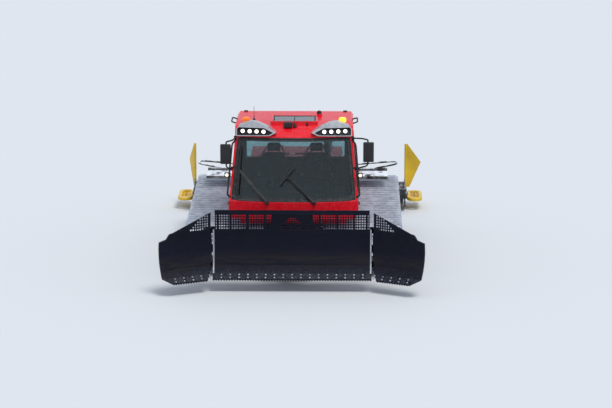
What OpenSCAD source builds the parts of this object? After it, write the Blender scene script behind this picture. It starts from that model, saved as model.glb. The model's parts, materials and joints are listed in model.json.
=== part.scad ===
/* [Overall] */
// Distance from the middle of the tracks to the middle of the whole machine
frame_y = -326.2; // [-700:1:0]
// Gap between panels that stand beside each other
panel_gap = 8; // [6:1:14]
// Running clearance of a pin in its eye
pin_gap = 0.6; // [0.4:0.1:2]
// Gap of a piece that sits on its seat
seat_gap = 0.2; // [0.1:0.1:0.5]

/* [Tracks] */
// Half of the width over both tracks
track_outer = 2100; // [1900:1:2200]
// Width of one track
track_w = 1540; // [1200:1:1600]
// Thickness of the rubber belts
belt_t = 20; // [16:1:30]
// Height of a crossbar above the belt
bar_h = 65; // [40:1:80]
// Width of a crossbar at its foot
bar_foot = 64; // [50:1:90]
// Width of a crossbar at its tip
bar_tip = 22; // [12:1:40]
// Number of crossbars on one track
bar_count = 57; // [50:1:60]
// Width of the slots between the belts
belt_slot = 150; // [100:1:200]

/* [Wheels] */
// Radius of a load wheel
wheel_r = 320; // [280:1:340]
// Width of a load wheel
wheel_w = 220; // [160:1:260]
// Number of load wheels on a side
wheel_count = 5; // [4:1:5]
// Distance between load wheels
wheel_pitch = 680; // [660:1:720]
// Radius of the front idler
idler_r = 350; // [300:1:370]
// Place of the front idler along the machine
idler_y = -2060; // [-2150:1:-2000]
// Height of the front idler's axle
idler_z = 555; // [500:1:600]
// Radius that the belt takes round the sprocket
sprocket_r = 350; // [320:1:380]
// Place of the sprocket along the machine
sprocket_y = 2040; // [2000:1:2150]
// Height of the sprocket's axle
sprocket_z = 690; // [600:1:720]
// Teeth of one sprocket disc
sprocket_teeth = 13; // [9:1:17]

/* [Tub] */
// Gap between the tub and a track
tub_gap = 85; // [60:1:120]
// Height of the tub's floor above the ground
tub_floor = 400; // [380:1:440]
// Height of the tub's deck
tub_top = 1030; // [980:1:1060]
// Front end of the tub
tub_front = -2180; // [-2250:1:-2100]
// Rear end of the tub
tub_rear = 2330; // [2250:1:2400]

/* [Cab] */
// Half width of the cab at its sill
cab_half = 1250; // [1150:1:1300]
// Half width of the cab under its roof
cab_top_half = 1135; // [1000:1:1150]
// Height of the underside of the cab
cab_floor = 1140; // [1130:1:1180]
// Height of the sill of the windscreen
sill_z = 1480; // [1420:1:1550]
// Height of the top of the windscreen
screen_top_z = 2660; // [2600:1:2700]
// Place of the windscreen's foot along the machine
screen_foot_y = -2440; // [-2500:1:-2400]
// Place of the windscreen's top along the machine
screen_top_y = -1900; // [-1950:1:-1850]
// Radius of the bow of the windscreen
screen_bow_r = 4300; // [3500:1:6000]
// Height of the roof at its rear edge
roof_z = 2890; // [2850:1:2950]
// Rear face of the cab
cab_rear = -280; // [-350:1:-240]
// Thickness of the cab's walls
wall_t = 50; // [35:1:60]
// Thickness of the panes
glass_t = 8; // [5:1:10]
// Clearance of a pane in its frame
glass_gap = 0.3; // [0.2:0.1:1]
// Rear edge of the doors
door_rear = -900; // [-950:1:-860]
// Front edge of the doors at the sill
door_front = -2110; // [-2140:1:-2080]
// Height of the foot of the doors
door_foot = 1215; // [1205:1:1260]
// Height of the top of the doors
door_top = 2610; // [2560:1:2630]

/* [Blade] */
// Half width of the middle section of the blade
blade_half = 1500; // [1300:1:1600]
// Length of one wing
wing_len = 1130; // [900:1:1250]
// Angle that the wings stand forward in the stored pose
wing_angle = 27; // [20:1:35]
// Height of the cutting edge above the ground in the stored pose
blade_lift = 220; // [150:1:300]
// Place of the cutting edge along the machine
blade_y = -3560; // [-3700:1:-3450]
// Radius of the hollow face
blade_r = 900; // [800:1:1100]
// Height of the solid face
blade_h = 950; // [850:1:1000]
// Thickness of the face
blade_t = 40; // [30:1:60]
// Height of the guard above the solid face
guard_h = 370; // [300:1:420]
// Pitch of the guard's holes
guard_pitch = 48; // [44:1:80]
// Side of one guard hole
guard_hole = 31; // [24:1:36]
// Pitch of the teeth along the cutting edge
tooth_pitch = 50; // [40:1:80]

/* [Tiller] */
// Half width of the tiller's housing
tiller_half = 2300; // [2100:1:2400]
// Place of the tiller's shaft along the machine
tiller_y = 3900; // [3800:1:4000]
// Height of the tiller's shaft in the stored pose
tiller_z = 330; // [300:1:380]
// Radius over the tines
tine_r = 215; // [180:1:225]
// Radius of the tiller's tube
rotor_r = 110; // [90:1:130]
// Rows of tines along the tiller's tube
tine_rows = 22; // [16:1:30]
// Width of an end skid
skid_w = 370; // [300:1:400]

/* [Hidden] */
$fn = 96;
eps = 1;

ground_r = bar_h + belt_t;
wheel_z = ground_r + wheel_r;
wheel_ys = [for (i = [0:wheel_count - 1]) (i - (wheel_count - 1) / 2) * wheel_pitch];
track_inner = track_outer - track_w;
track_mid = track_outer - track_w / 2;
tub_half = track_inner - tub_gap;
skid_half = tiller_half + 35 + skid_w;

red = [0.80, 0.03, 0.06];
dark = [0.09, 0.10, 0.12];
navy = [0.10, 0.12, 0.17];
yellow = [0.90, 0.70, 0.10];
alloy = [0.62, 0.66, 0.72];
steel = [0.70, 0.72, 0.74];
black = [0.04, 0.04, 0.05];
pane_tint = [0.45, 0.60, 0.65, 0.4];

// Both sides of the machine
module both() {
  children();
  mirror([1, 0, 0]) children();
}

// A profile drawn as [y, z], pushed through along x from x0 to x1
module across(x0, x1) {
  translate([x0, 0, 0])
    rotate([90, 0, 90])
      linear_extrude(x1 - x0)
        children();
}

// A profile drawn as [x, z], pushed through along y from y0 to y1
module along(y0, y1) {
  translate([0, y1, 0])
    rotate([90, 0, 0])
      linear_extrude(y1 - y0)
        children();
}

// A bar along x, y or z between two heights on its axis, centred at p
module rod_x(p, r, x0, x1) {
  translate([x0, p[0], p[1]]) rotate([0, 90, 0]) cylinder(r = r, h = x1 - x0);
}

module rod_y(p, r, y0, y1) {
  translate([p[0], y0, p[1]]) rotate([-90, 0, 0]) cylinder(r = r, h = y1 - y0);
}

// A round bar from point a to point b
module bar(a, b, r) {
  d = b - a;
  len = norm(d);
  translate(a)
    rotate([0, acos(d[2] / len), atan2(d[1], d[0])])
      cylinder(r = r, h = len);
}

// A bent tube through points, with balls at its corners
module tube_run(points, r) {
  for (i = [0:len(points) - 2]) bar(points[i], points[i + 1], r);
  for (i = [1:len(points) - 2]) translate(points[i]) sphere(r = r * 1.08, $fn = 32);
}

// A block from corner a to corner b
module box(a, b) {
  translate(a) cube(b - a);
}

// A flat link with round ends of radius r in a [y, z] profile
module link2d(a, b, r) {
  d = b - a;
  translate(a) rotate(atan2(d[1], d[0])) translate([0, -0.97 * r]) square([norm(d), 1.94 * r]);
  translate(a) circle(r = r);
  translate(b) circle(r = r);
}

// Loop of the track: circles [y, z, radius inside the belt] in travel order
loop_circles = [
  [idler_y, idler_z, idler_r],
  [wheel_ys[0], wheel_z, wheel_r],
  [wheel_ys[wheel_count - 1], wheel_z, wheel_r],
  [sprocket_y, sprocket_z, sprocket_r]
];
loop_n = len(loop_circles);
function wrap(i) = (i + loop_n) % loop_n;
function gap_to(i) = [for (k = [0:1]) loop_circles[wrap(i + 1)][k] - loop_circles[i][k]];
function lean(i) = asin((loop_circles[i][2] - loop_circles[wrap(i + 1)][2]) / norm(gap_to(i)));
function normal_at(i) = atan2(gap_to(i)[1], gap_to(i)[0]) - 90 + lean(i);
normals = [for (i = [0:loop_n - 1]) normal_at(i)];
function turn(i) = (normals[i] - normals[wrap(i - 1)] + 720) % 360;
function arc_len(i, t) = (loop_circles[i][2] + t) * turn(i) * PI / 180;
function run_len(i) = norm(gap_to(i)) * cos(lean(i));
function piece_len(i, t) = arc_len(i, t) + run_len(i);
function total_to(i, t) = i <= 0 ? 0 : piece_len(i - 1, t) + total_to(i - 1, t);
function polar(r, a) = [r * cos(a), r * sin(a)];
function centre(i) = [loop_circles[i][0], loop_circles[i][1]];

// Place and outward angle at distance s along the loop, t outside its inner face: [y, z, angle]
function place_in(i, s, t) =
  s < arc_len(i, t)
    ? let (a = normals[wrap(i - 1)] + s / arc_len(i, t) * turn(i),
           p = centre(i) + polar(loop_circles[i][2] + t, a)) [p[0], p[1], a]
    : let (a = normals[i],
           p = centre(i) + polar(loop_circles[i][2] + t, a) + polar(s - arc_len(i, t), a + 90)) [p[0],
               p[1], a];
function place_at(s, t, i = 0) =
  i == loop_n - 1 || s < piece_len(i, t) ? place_in(i, s, t) : place_at(s - piece_len(i, t), t, i + 1);
loop_len = total_to(loop_n, belt_t);
bar_pitch = loop_len / bar_count;
function off(p, across_d, out_d) = [p[0], p[1]] + polar(across_d, p[2] + 90) + polar(out_d, p[2]);

// Outer outline of belt and crossbars
bars_outline = [for (k = [0:bar_count - 1]) let (p = place_at((k + 0.5) * bar_pitch, belt_t))
  each [off(p, -bar_foot / 2, 0), off(p, -bar_tip / 2, bar_h), off(p, bar_tip / 2, bar_h), off(p,
      bar_foot / 2, 0)]];

// Outline that goes round the wheels at a distance t, with its sides tangent to them
arc_step = 12;
function round_outline(t) = [for (i = [0:loop_n - 1])
  let (steps = ceil(turn(i) / arc_step), half = turn(i) / steps / 2)
    for (j = [0:steps - 1])
      centre(i) + polar((loop_circles[i][2] + t) / cos(half), normals[wrap(i - 1)] + (2 * j + 1) * half)];

module track() {
  color(alloy)
  difference() {
    across(track_inner, track_outer)
      difference() {
        polygon(bars_outline);
        polygon(round_outline(seat_gap));
      }
    for (x = [track_mid - track_w / 4, track_mid + track_w / 4])
      across(x - belt_slot / 2, x + belt_slot / 2)
        difference() {
          polygon(round_outline(belt_t + 2));
          polygon(round_outline(-30));
        }
  }
}

module track_left() {
  track();
}

module track_right() {
  mirror([1, 0, 0]) track();
}

// Wheel with a round-shouldered tyre and a dished disc, at [y, z], radius r and width w
hub_r = 70;
module wheel(p, r, w) {
  translate([track_mid, p[0], p[1]])
    rotate([0, 90, 0])
      rotate_extrude($fn = 72)
        polygon([
          [0, -w * 0.30], [hub_r, -w * 0.30], [hub_r, -w * 0.12], [r * 0.60, -w * 0.12], [r * 0.66,
              -w * 0.42],
          [r * 0.80, -w / 2], [r * 0.94, -w / 2], [r, -w * 0.38], [r, w * 0.38], [r * 0.94, w / 2],
          [r * 0.80, w / 2], [r * 0.66, w * 0.42], [r * 0.60, w * 0.30], [hub_r + 20, w * 0.30],
          [hub_r, w * 0.42], [0, w * 0.42]
        ]);
}

module load_wheels() {
  color(black)
  both() {
    for (y = wheel_ys) wheel([y, wheel_z], wheel_r, wheel_w);
    wheel([idler_y, idler_z], idler_r, wheel_w);
  }
}

// Drive sprocket: two toothed discs on one hub
disc_t = 50;
module sprocket_disc(x) {
  translate([x - disc_t / 2, sprocket_y, sprocket_z])
    rotate([90, 0, 90])
      linear_extrude(disc_t)
        polygon([for (k = [0:sprocket_teeth - 1]) let (a = 360 / sprocket_teeth)
          each [polar(sprocket_r * 0.84, (k - 0.30) * a), polar(sprocket_r, (k - 0.12) * a),
                polar(sprocket_r, (k + 0.12) * a), polar(sprocket_r * 0.84, (k + 0.30) * a)]]);
}

final_drive_r = 165;
module sprockets() {
  color(black)
  both() {
    for (x = [track_mid - track_w / 4, track_mid + track_w / 4]) sprocket_disc(x);
    rod_x([sprocket_y, sprocket_z], final_drive_r, track_mid - track_w / 4, track_mid + track_w / 4);
    rod_x([sprocket_y, sprocket_z], final_drive_r - 30, tub_half, track_mid - track_w / 4);
    rod_x([sprocket_y, sprocket_z], hub_r, track_mid + track_w / 4, track_mid + track_w / 4 + 60);
  }
}

// Trailing arms from the tub to each wheel: [wheel y, wheel z, radius at the arm's pivot]
arm_back = 190;
arm_lift = 95;
arm_t = 60;
arm_x = 640;
stub_r = 42;
module arm(p, lift) {
  pivot = p + [arm_back, lift];
  rod_x(pivot, 62, tub_half, arm_x + arm_t);
  across(arm_x, arm_x + arm_t) link2d(p, pivot, 70);
  rod_x(p, stub_r, arm_x + arm_t - eps, track_mid - wheel_w * 0.30);
}

module axle_arms() {
  color(dark)
  both() {
    for (y = wheel_ys) arm([y, wheel_z], arm_lift);
    arm([idler_y, idler_z], 40);
  }
}

// Tub between the tracks, with a sloped nose and a raised tail
module chassis_tub() {
  color(red) {
    across(-tub_half, tub_half)
      polygon([
        [tub_front, 640], [tub_front + 300, tub_floor], [tub_rear - 420, tub_floor], [tub_rear, 620],
        [tub_rear, tub_top - 60], [tub_rear - 60, tub_top], [-2000, tub_top], [tub_front, 900]
      ]);
    // Ears that carry the push frame and the rear lift frame
    both() {
      across(push_ear_x - 60, push_ear_x - 20) pivot_ear([push_pin[0], push_pin[1]], 70, [tub_front + 20,
          480], [tub_front + 20, 760], 30);
      across(rear_ear_x - 60, rear_ear_x - 20) pivot_ear([rear_pin[0], rear_pin[1]], 70, [tub_rear - 20,
          640], [tub_rear - 20, 900], 30);
      // Ears and pins of the lift cylinders
      for (x = [lift_x - 26 - side_gap - 20, lift_x + 26 + side_gap]) {
        across(x, x + 20) lift_ear(lift_top, [[tub_front + 30, 800], [tub_front + 150, 1010]]);
        across(x, x + 20) lift_ear(rear_lift_top, [[tub_rear - 1, 860], [tub_rear - 60, tub_top - 2]]);
      }
      rod_x(lift_top, 22, lift_x - 40, lift_x + 40);
      rod_x(rear_lift_top, 22, lift_x - 40, lift_x + 40);
    }
    // Tow eye under the tail
    translate([0, tub_rear, tow_z - 20])
      difference() {
        union() {
          translate([0, 55, 0]) cylinder(r = 62, h = 40);
          box([-62, -150, 0], [62, 55, 40]);
        }
        translate([0, 55, -1]) cylinder(r = tow_pin_r, h = 42);
      }
  }
}

tow_z = 660;
tow_pin_r = 26;

// Ear round a lift cylinder's pin at p, footed on the two points
module lift_ear(p, foot) {
  translate(p) circle(r = 44);
  polygon([foot[0], p + [0, -40], p + [0, 40], foot[1]]);
}

// Ear from a wall, between points a and b, out to a pin at p, with the pin's hole
module pivot_ear(p, r, a, b, hole_r) {
  difference() {
    union() {
      polygon([a, p + [0, -r * 0.98], p + [0, r * 0.98], b]);
      translate(p) circle(r = r);
    }
    translate(p) circle(r = hole_r + pin_gap);
  }
}

// Engine as one plain block on the tub's deck
engine = [[95 - tub_half, 60, 0], [tub_half - 95, 1300, 640]];
module engine_block() {
  color(dark) translate([0, 0, tub_top + seat_gap]) box(engine[0], engine[1]);
}

// Outer form of the cab, drawn in by t on every side
rake = atan2(screen_top_y - screen_foot_y, screen_top_z - sill_z);
roof_front_y = screen_top_y + 330;
roof_front_z = roof_z - 65;
function roof_nose(t) = [roof_front_y + t * 0.6, roof_front_z - t];
function roof_tip(t) = roof_nose(t) + 1.6 * ([screen_top_y, screen_top_z] - [roof_front_y, roof_front_z]);
function cab_side(t) = [
  [screen_foot_y - 200, cab_floor + t],
  roof_tip(t),
  roof_nose(t),
  [roof_front_y + 360, roof_z - 25 - t],
  [cab_rear - t, roof_z - t],
  [cab_rear - t, cab_floor + t]
];
shoulder_z = cab_floor + 180;
function cab_half_face(t) = [
  [cab_half - 70 - t, cab_floor + t], [cab_half - t, shoulder_z], [cab_top_half - t, screen_top_z],
  [cab_top_half + 10 - t, roof_z - 60], [cab_top_half - 40 - t, roof_z + 5 - t]
];
function mirrored(points) = [for (i = [len(points) - 1:-1:0]) [-points[i][0], points[i][1]]];
side_lean = atan2(cab_half - cab_top_half, screen_top_z - shoulder_z);
bow_centre = screen_foot_y + screen_bow_r;

module cab_form(t) {
  intersection() {
    across(-cab_half - 100, cab_half + 100) polygon(cab_side(t));
    along(screen_foot_y - 200, cab_rear + 200) polygon(concat(cab_half_face(t), mirrored(cab_half_face(t))));
    translate([0, bow_centre, 0]) cylinder(r = screen_bow_r - t, h = 2 * roof_z, $fn = 360);
    translate([0, screen_foot_y, sill_z])
      rotate([-rake, 0, 0])
        translate([0, screen_bow_r / cos(rake), -2000])
          cylinder(r = screen_bow_r / cos(rake) - t, h = 5000, $fn = 360);
  }
}

module cab_wall(t0, t1) {
  difference() {
    cab_form(t0);
    cab_form(t1);
  }
}

roof_seam = screen_top_z + 12;
function screen_opening(d) = [
  [cab_half - 60 - d, sill_z + 22 + d], [cab_top_half - 57 - d, screen_top_z - 30 - d],
  [-cab_top_half + 57 + d, screen_top_z - 30 - d], [-cab_half + 60 + d, sill_z + 22 + d]
];
// Slope of the door's front edge, beside the windscreen's pillar
pillar_w = 115;
function pillar_y(z) = screen_foot_y + (z - sill_z) * tan(rake) + 175 + pillar_w;
function door_outline(d) = [
  [door_rear - d, door_foot + d], [door_rear - d, door_top - d], [pillar_y(door_top) + 20 + d, door_top - d],
  [door_front + d, sill_z + d], [door_front + d, door_foot + d]
];
function door_window(d) = [
  [door_rear - 95 - d, sill_z - 60 + d], [door_rear - 95 - d, door_top - 90 - d],
  [pillar_y(door_top) + 100 + d, door_top - 90 - d], [door_front + 95 + d, sill_z + 25 + d],
  [door_front + 95 + d, sill_z - 60 + d]
];
function rear_side_window(d) = [
  [cab_rear - 120 - d, sill_z - 40 + d], [cab_rear - 120 - d, door_top - 60 - d],
  [door_rear + 120 + d, door_top - 60 - d], [door_rear + 120 + d, sill_z - 40 + d]
];
rear_window_foot = 1960;
function rear_window(d) = [
  [cab_top_half - 150 - d, rear_window_foot + d], [cab_top_half - 150 - d, door_top - 60 - d],
  [-cab_top_half + 150 + d, door_top - 60 - d], [-cab_top_half + 150 + d, rear_window_foot + d]
];

// Hinge line of a door, outside the wall at the door's rear edge; z runs up along the leaning wall
hinge_out = 17;
knuckle_r = 15;
hinge_pin_r = 7;
hinge_foot_z = door_foot;
hinge_x = cab_half - (hinge_foot_z - shoulder_z) * tan(side_lean) + hinge_out / cos(side_lean);
hinge_heights = [130, 1050];
knuckle_len = 56;
module on_hinge() {
  translate([hinge_x, door_rear, hinge_foot_z]) rotate([0, -side_lean, 0]) children();
}

module hinge_leaf(z0, toward) {
  difference() {
    union() {
      translate([0, 0, z0]) cylinder(r = knuckle_r, h = knuckle_len);
      box([-hinge_out - 1, min(0, toward), z0], [-hinge_out + 9, max(0, toward), z0 + knuckle_len]);
      box([-hinge_out + 8, -6, z0], [0, 6, z0 + knuckle_len]);
    }
    translate([0, 0, z0 - 1]) cylinder(r = hinge_pin_r + (toward < 0 ? pin_gap : 0), h = knuckle_len + 2);
  }
}

module cab_shell() {
  color(red) {
    difference() {
      cab_wall(0, wall_t);
      box([-2000, -4000, roof_seam], [2000, 2000, 4000]);
      along(screen_foot_y - 300, roof_front_y + 200) polygon(screen_opening(0));
      across(-2000, 2000) polygon(door_outline(-panel_gap / 2));
      across(-2000, 2000) polygon(rear_side_window(0));
      along(cab_rear - 200, cab_rear + 200) polygon(rear_window(0));
    }
    // Apron under the fascia
    box([-cab_half + 230, screen_foot_y + 150, tub_top + 20], [cab_half - 230, screen_foot_y + 190,
        cab_floor + eps]);
    // Rubber mounts between the cab and the tub
    both()
      for (y = [tub_front + 330, cab_rear - 200])
        translate([tub_half - 110, y, tub_top + seat_gap])
          cylinder(r = 60, h = cab_floor - tub_top - seat_gap + eps);
    // Door hinges: lower and upper knuckle with the pin
    both()
      on_hinge()
        for (z = hinge_heights) {
          hinge_leaf(z, 60);
          translate([0, 0, z + 0.5]) cylinder(r = hinge_pin_r, h = 2 * knuckle_len + 6);
        }
  }
}

module cab_roof() {
  color(red) {
    difference() {
      cab_wall(0, wall_t);
      box([-2000, -4000, 0], [2000, 2000, roof_seam]);
      box(skylight[0] + [0, 0, -500], skylight[1] + [0, 0, 500]);
    }
    // Raised rim round the skylight
    difference() {
      box(skylight[0] + [-35, -35, -43], skylight[1] + [35, 35, 38]);
      box(skylight[0] + [0, 0, -500], skylight[1] + [0, 0, 500]);
    }
  }
}
skylight = [[-420, -1490, roof_z - 22], [420, -880, roof_z - 22]];

module cab_glass() {
  color(pane_tint) {
    intersection() {
      cab_wall(12, 12 + glass_t);
      along(screen_foot_y - 300, roof_front_y + 200) polygon(screen_opening(glass_gap));
    }
    intersection() {
      cab_wall(20, 20 + glass_t);
      across(-2000, 2000) polygon(rear_side_window(glass_gap));
    }
    along(cab_rear - 28, cab_rear - 20) polygon(rear_window(glass_gap));
    // Two skylight panes, parted at the middle
    both()
      box([6, skylight[0][1] + glass_gap, roof_z], [skylight[1][0] - glass_gap,
          skylight[1][1] - glass_gap, roof_z + glass_t]);
  }
}

module door() {
  color(red) {
    difference() {
      cab_wall(0, wall_t);
      box([-3000, -4000, 0], [0, 2000, 4000]);
      difference() {
        box([-100, -4000, 0], [3000, 2000, 4000]);
        across(-200, 3100) polygon(door_outline(panel_gap / 2));
      }
      across(-200, 3100) polygon(door_window(0));
    }
    on_hinge()
      for (z = hinge_heights) hinge_leaf(z + knuckle_len + 2, -60);
    // Handle bar on two feet
    translate([cab_half - 8, door_front + 150, sill_z - 130]) {
      box([-6, 0, 0], [30, 24, 20]);
      box([-6, 150, 0], [30, 174, 20]);
      box([24, 0, 0], [38, 174, 20]);
    }
  }
}

module door_left() {
  door();
}

module door_right() {
  mirror([1, 0, 0]) door();
}

module door_glass() {
  color(pane_tint)
  intersection() {
    cab_wall(20, 20 + glass_t);
    box([100, -4000, 0], [2000, 2000, 4000]);
    across(0, 2000) polygon(door_window(glass_gap));
  }
}

module door_glass_left() {
  door_glass();
}

module door_glass_right() {
  mirror([1, 0, 0]) door_glass();
}

// Lamp pods on the front corners of the roof, each with a dark trough for four lamps
pod_outer = cab_top_half - 20;
pod_inner = 340;
pod_foot = screen_top_z + 8;
pod_front = screen_top_y - 10;
pod_back = -1600;
pod_proud = 60;
trough_floor = 6;
lamp_r = 42;
lamp_pitch = 135;
lamp_x = pod_outer - 125;
lamp_z = pod_foot + 92;
pod_outline = [
  [pod_inner, pod_foot + 80], [pod_inner + 130, pod_foot + 20], [pod_outer, pod_foot], [pod_outer + 5, pod_foot + 120],
  [pod_outer - 60, pod_foot + 195], [pod_outer - 160, pod_foot + 250], [pod_outer - 300, pod_foot + 280],
  [pod_outer - 430, pod_foot + 255], [pod_inner + 110, pod_foot + 150]
];
trough_outline = [
  [pod_inner + 60, pod_foot + 78], [pod_inner + 140, pod_foot + 32], [pod_outer - 15, pod_foot + 14],
  [pod_outer - 15, pod_foot + 130], [pod_outer - 45, pod_foot + 160], [pod_inner + 240, pod_foot + 160]
];

// Everything behind the windscreen's surface moved out by t
module behind_screen(t) {
  translate([0, screen_foot_y, sill_z])
    rotate([-rake, 0, 0])
      translate([0, screen_bow_r / cos(rake), -2000])
        cylinder(r = screen_bow_r / cos(rake) + t, h = 5000, $fn = 360);
}

module headlamp_pods() {
  color(steel)
  both()
    difference() {
      intersection() {
        along(pod_front - 200, pod_back) polygon(pod_outline);
        behind_screen(pod_proud);
      }
      difference() {
        along(pod_front - 300, pod_back + 50) polygon(trough_outline);
        behind_screen(trough_floor);
      }
      cab_form(-seat_gap);
    }
}

module headlamps() {
  color(black)
  both()
    for (i = [0:3])
      difference() {
        rod_y([lamp_x - i * lamp_pitch, lamp_z], lamp_r, screen_y(lamp_x - i * lamp_pitch,
            lamp_z) - pod_proud, screen_y(lamp_x - i * lamp_pitch, lamp_z) + 40);
        behind_screen(trough_floor + seat_gap);
      }
}

module beacon(x, y, z, r, h) {
  translate([x, y, z])
    rotate_extrude($fn = 48)
      polygon([[0, 0], [r, 0], [r, h * 0.35], [r * 0.86, h * 0.37], [r * 0.86, h * 0.8], [r * 0.55, h],
          [0, h]]);
}

beacon_x = 935;
beacon_y = pod_back + 90;
module beacons() {
  color([0.95, 0.45, 0.05])
  both()
    difference() {
      beacon(beacon_x, beacon_y, roof_z - 90, 76, 190);
      cab_form(-seat_gap);
    }
}

aerial_at = [-793, -1180];
module roof_fittings() {
  color(dark)
  difference() {
    // Camera box, cone and stub on the roof's nose, dome beside the skylight, whip aerial
    union() {
      box([-200, -1680, roof_z - 90], [-30, -1570, roof_z + 18]);
      translate([15, -1610, roof_z - 90]) cylinder(r1 = 38, r2 = 8, h = 105, $fn = 48);
      translate([250, -1570, roof_z - 90]) cylinder(r = 18, h = 100, $fn = 48);
      translate([475, -740, roof_z - 60])
        rotate_extrude($fn = 48)
          polygon([[0, 0], [58, 0], [58, 105], [50, 130], [28, 148], [0, 154]]);
      translate([aerial_at[0], aerial_at[1], roof_z - 60]) cylinder(r = 26, h = 88, $fn = 48);
      translate([aerial_at[0], aerial_at[1], roof_z + 20]) cylinder(r = 5, h = 233, $fn = 24);
    }
    cab_form(-seat_gap);
  }
}

// Half width of the cab at a height, and the line of its front corner
function half_at(z) = cab_half - (z - shoulder_z) * tan(side_lean);
function screen_y(x, z) = screen_foot_y + (z - sill_z) * tan(rake) + x * x / 2 / screen_bow_r;
// Point off the front corner at height z: out to the side and forward, or inside where both are below 0
function corner(z, out, fore) = [half_at(z) + out, screen_y(half_at(z), z) - fore, z];

// Mirrors on tube arms from the windscreen's pillars: [side, inner edge, foot]
mirror_table = [[1, 1335, 2219], [-1, 1205, 2172]];
mirror_size = [205, 55, 392];
mirror_y = -2140;
mirror_tube_r = 15;
module mirrors() {
  color(black)
  for (m = mirror_table)
    mirror([m[0] < 0 ? 1 : 0, 0, 0])
      difference() {
        union() {
          box([m[1], mirror_y, m[2]], [m[1], mirror_y, m[2]] + mirror_size);
          tube_run([corner(2620, -40, -40), [m[1] - 20, mirror_y + 60, m[2] + 455], [m[1] + 90,
              mirror_y + 27, m[2] + 435],
                    [m[1] + 90, mirror_y + 27, m[2] + 380]], mirror_tube_r);
          tube_run([corner(2060, -40, -40), [m[1] + 60, mirror_y + 20, m[2] - 75], [m[1] + 90,
              mirror_y + 27, m[2] - 45],
                    [m[1] + 90, mirror_y + 27, m[2] + 10]], mirror_tube_r);
        }
        cab_form(-seat_gap);
        pillar_rail(rail_r + seat_gap);
      }
}

// Wipers: [foot x, tip x, tip z, blade's half length, blade's lean]
wiper_table = [[408, -120, 1945, 230, 38], [-500, -1040, 2040, 480, 3]];
module wipers() {
  color(black)
  difference() {
    for (w = wiper_table) {
      bar([w[0], screen_y(w[0], sill_z) - 34, sill_z - 5], [w[1], screen_y(w[1], w[2]) - 40, w[2]], 12);
      translate([w[0], screen_y(w[0], sill_z) + 30, sill_z - 10]) rotate([90, 0, 0]) cylinder(r = 26, h = 82);
      translate([w[1], screen_y(w[1], w[2]) - 18, w[2]])
        rotate([-rake, 0, 0])
          rotate([0, w[4], 0])
            box([-10, -24, -w[3]], [10, 10, w[3]]);
    }
    cab_form(-seat_gap);
  }
}

// Grab rails along the windscreen's pillars, and short ones at the roof's edges
rail_r = 17;
module pillar_rail(r) {
  tube_run([corner(1545, -40, -60), corner(1600, 45, 50), corner(2520, 45, 50), corner(2580, -40, -60)], r);
}

module grab_rails() {
  color(black)
  both()
    difference() {
      union() {
        pillar_rail(rail_r);
        tube_run([[cab_top_half - 60, -900, roof_z - 70], [cab_top_half + 90, -900, roof_z - 20],
                  [cab_top_half + 90, -1330, roof_z - 30], [cab_top_half - 60, -1330, roof_z - 80]], 14);
      }
      cab_form(-seat_gap);
    }
}

// Work lamps clamped to the grab rails
work_lamp_z = 1975;
module work_lamps() {
  color(dark)
  both()
    difference() {
      translate(corner(work_lamp_z, 45, 50)) {
        box([-30, -115, -45], [90, -45, 45]);
        box([-30, -46, -30], [30, -2, 30]);
      }
      pillar_rail(rail_r + seat_gap);
    }
}

// Seat: cushion, back and head rest on a pedestal
cabin_z = cab_floor + wall_t + seat_gap;
module seat(x) {
  translate([x, -1150, cabin_z]) {
    box([-150, -150, 0], [150, 200, 300]);
    box([-250, -270, 300], [250, 250, 430]);
    across(-240, 240) polygon([[130, 425], [250, 425], [370, 1000], [260, 1010]]);
    across(-130, 130) polygon([[262, 1005], [368, 995], [400, 1180], [310, 1190]]);
    for (s = [-1, 1]) box([s * 270 - 35, -150, 520], [s * 270 + 35, 230, 580]);
    for (s = [-1, 1]) box([s * 270 - 35, 170, 300], [s * 270 + 35, 240, 530]);
  }
}

module seats() {
  color(dark) {
    seat(-420);
    seat(420);
  }
}

dash_profile = [
  [-2130, cabin_z], [-2060, cabin_z], [-1990, 1560], [-1840, 1620], [-1860, 1700], [-2130, 1620], [-2180,
      1440]
];
module dashboard() {
  color(dark) {
    across(-1000, 1000) polygon(dash_profile);
    box([-110, -1800, cabin_z], [110, -900, cabin_z + 420]);
  }
}

yoke_at = [-420, -1720, 1800];
module steering_yoke() {
  color(black) {
    difference() {
      bar(yoke_at + [0, -170, -150], yoke_at, 26);
      across(-1000, 1000) polygon(dash_profile);
    }
    translate(yoke_at)
      rotate([-45, 0, 0]) {
        rotate_extrude(angle = 360, $fn = 48) translate([150, 0]) circle(r = 16, $fn = 24);
        box([-150, -14, -12], [150, 14, 12]);
      }
  }
}

// Housing over the engine: a hollow hood with louvred sides and a sloped tail
hood_half = 920;
hood_top = 1880;
hood_front = cab_rear + 20;
hood_rear = 1560;
hood_t = 25;
louvre_pitch = 62;
hood_foot = 1180;
plinth_half = track_inner - 30;
function hood_side(t) = [
  [hood_front + t, hood_foot + t], [hood_front + t, hood_top - t], [hood_rear - 260 - t * 0.6, hood_top - t],
  [hood_rear - t, hood_top - 330 - t * 0.4], [hood_rear - t, hood_foot + t]
];
module engine_housing() {
  color(red)
  difference() {
    union() {
      across(-hood_half, hood_half) polygon(hood_side(0));
      box([-plinth_half, hood_front, tub_top + seat_gap], [plinth_half, hood_rear, hood_foot + eps]);
    }
    across(-hood_half + hood_t, hood_half - hood_t) polygon(hood_side(hood_t));
    box([-plinth_half + hood_t, hood_front + hood_t, 0], [plinth_half - hood_t, hood_rear - hood_t,
        hood_foot + hood_t + 5]);
    for (i = [0:8])
      box([-2000, 120, 1270 + i * louvre_pitch], [2000, 1120, 1270 + i * louvre_pitch + 34]);
    for (i = [0:4])
      box([-700, hood_rear - 200, 1230 + i * louvre_pitch], [700, hood_rear + 20,
          1230 + i * louvre_pitch + 34]);
  }
}

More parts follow.
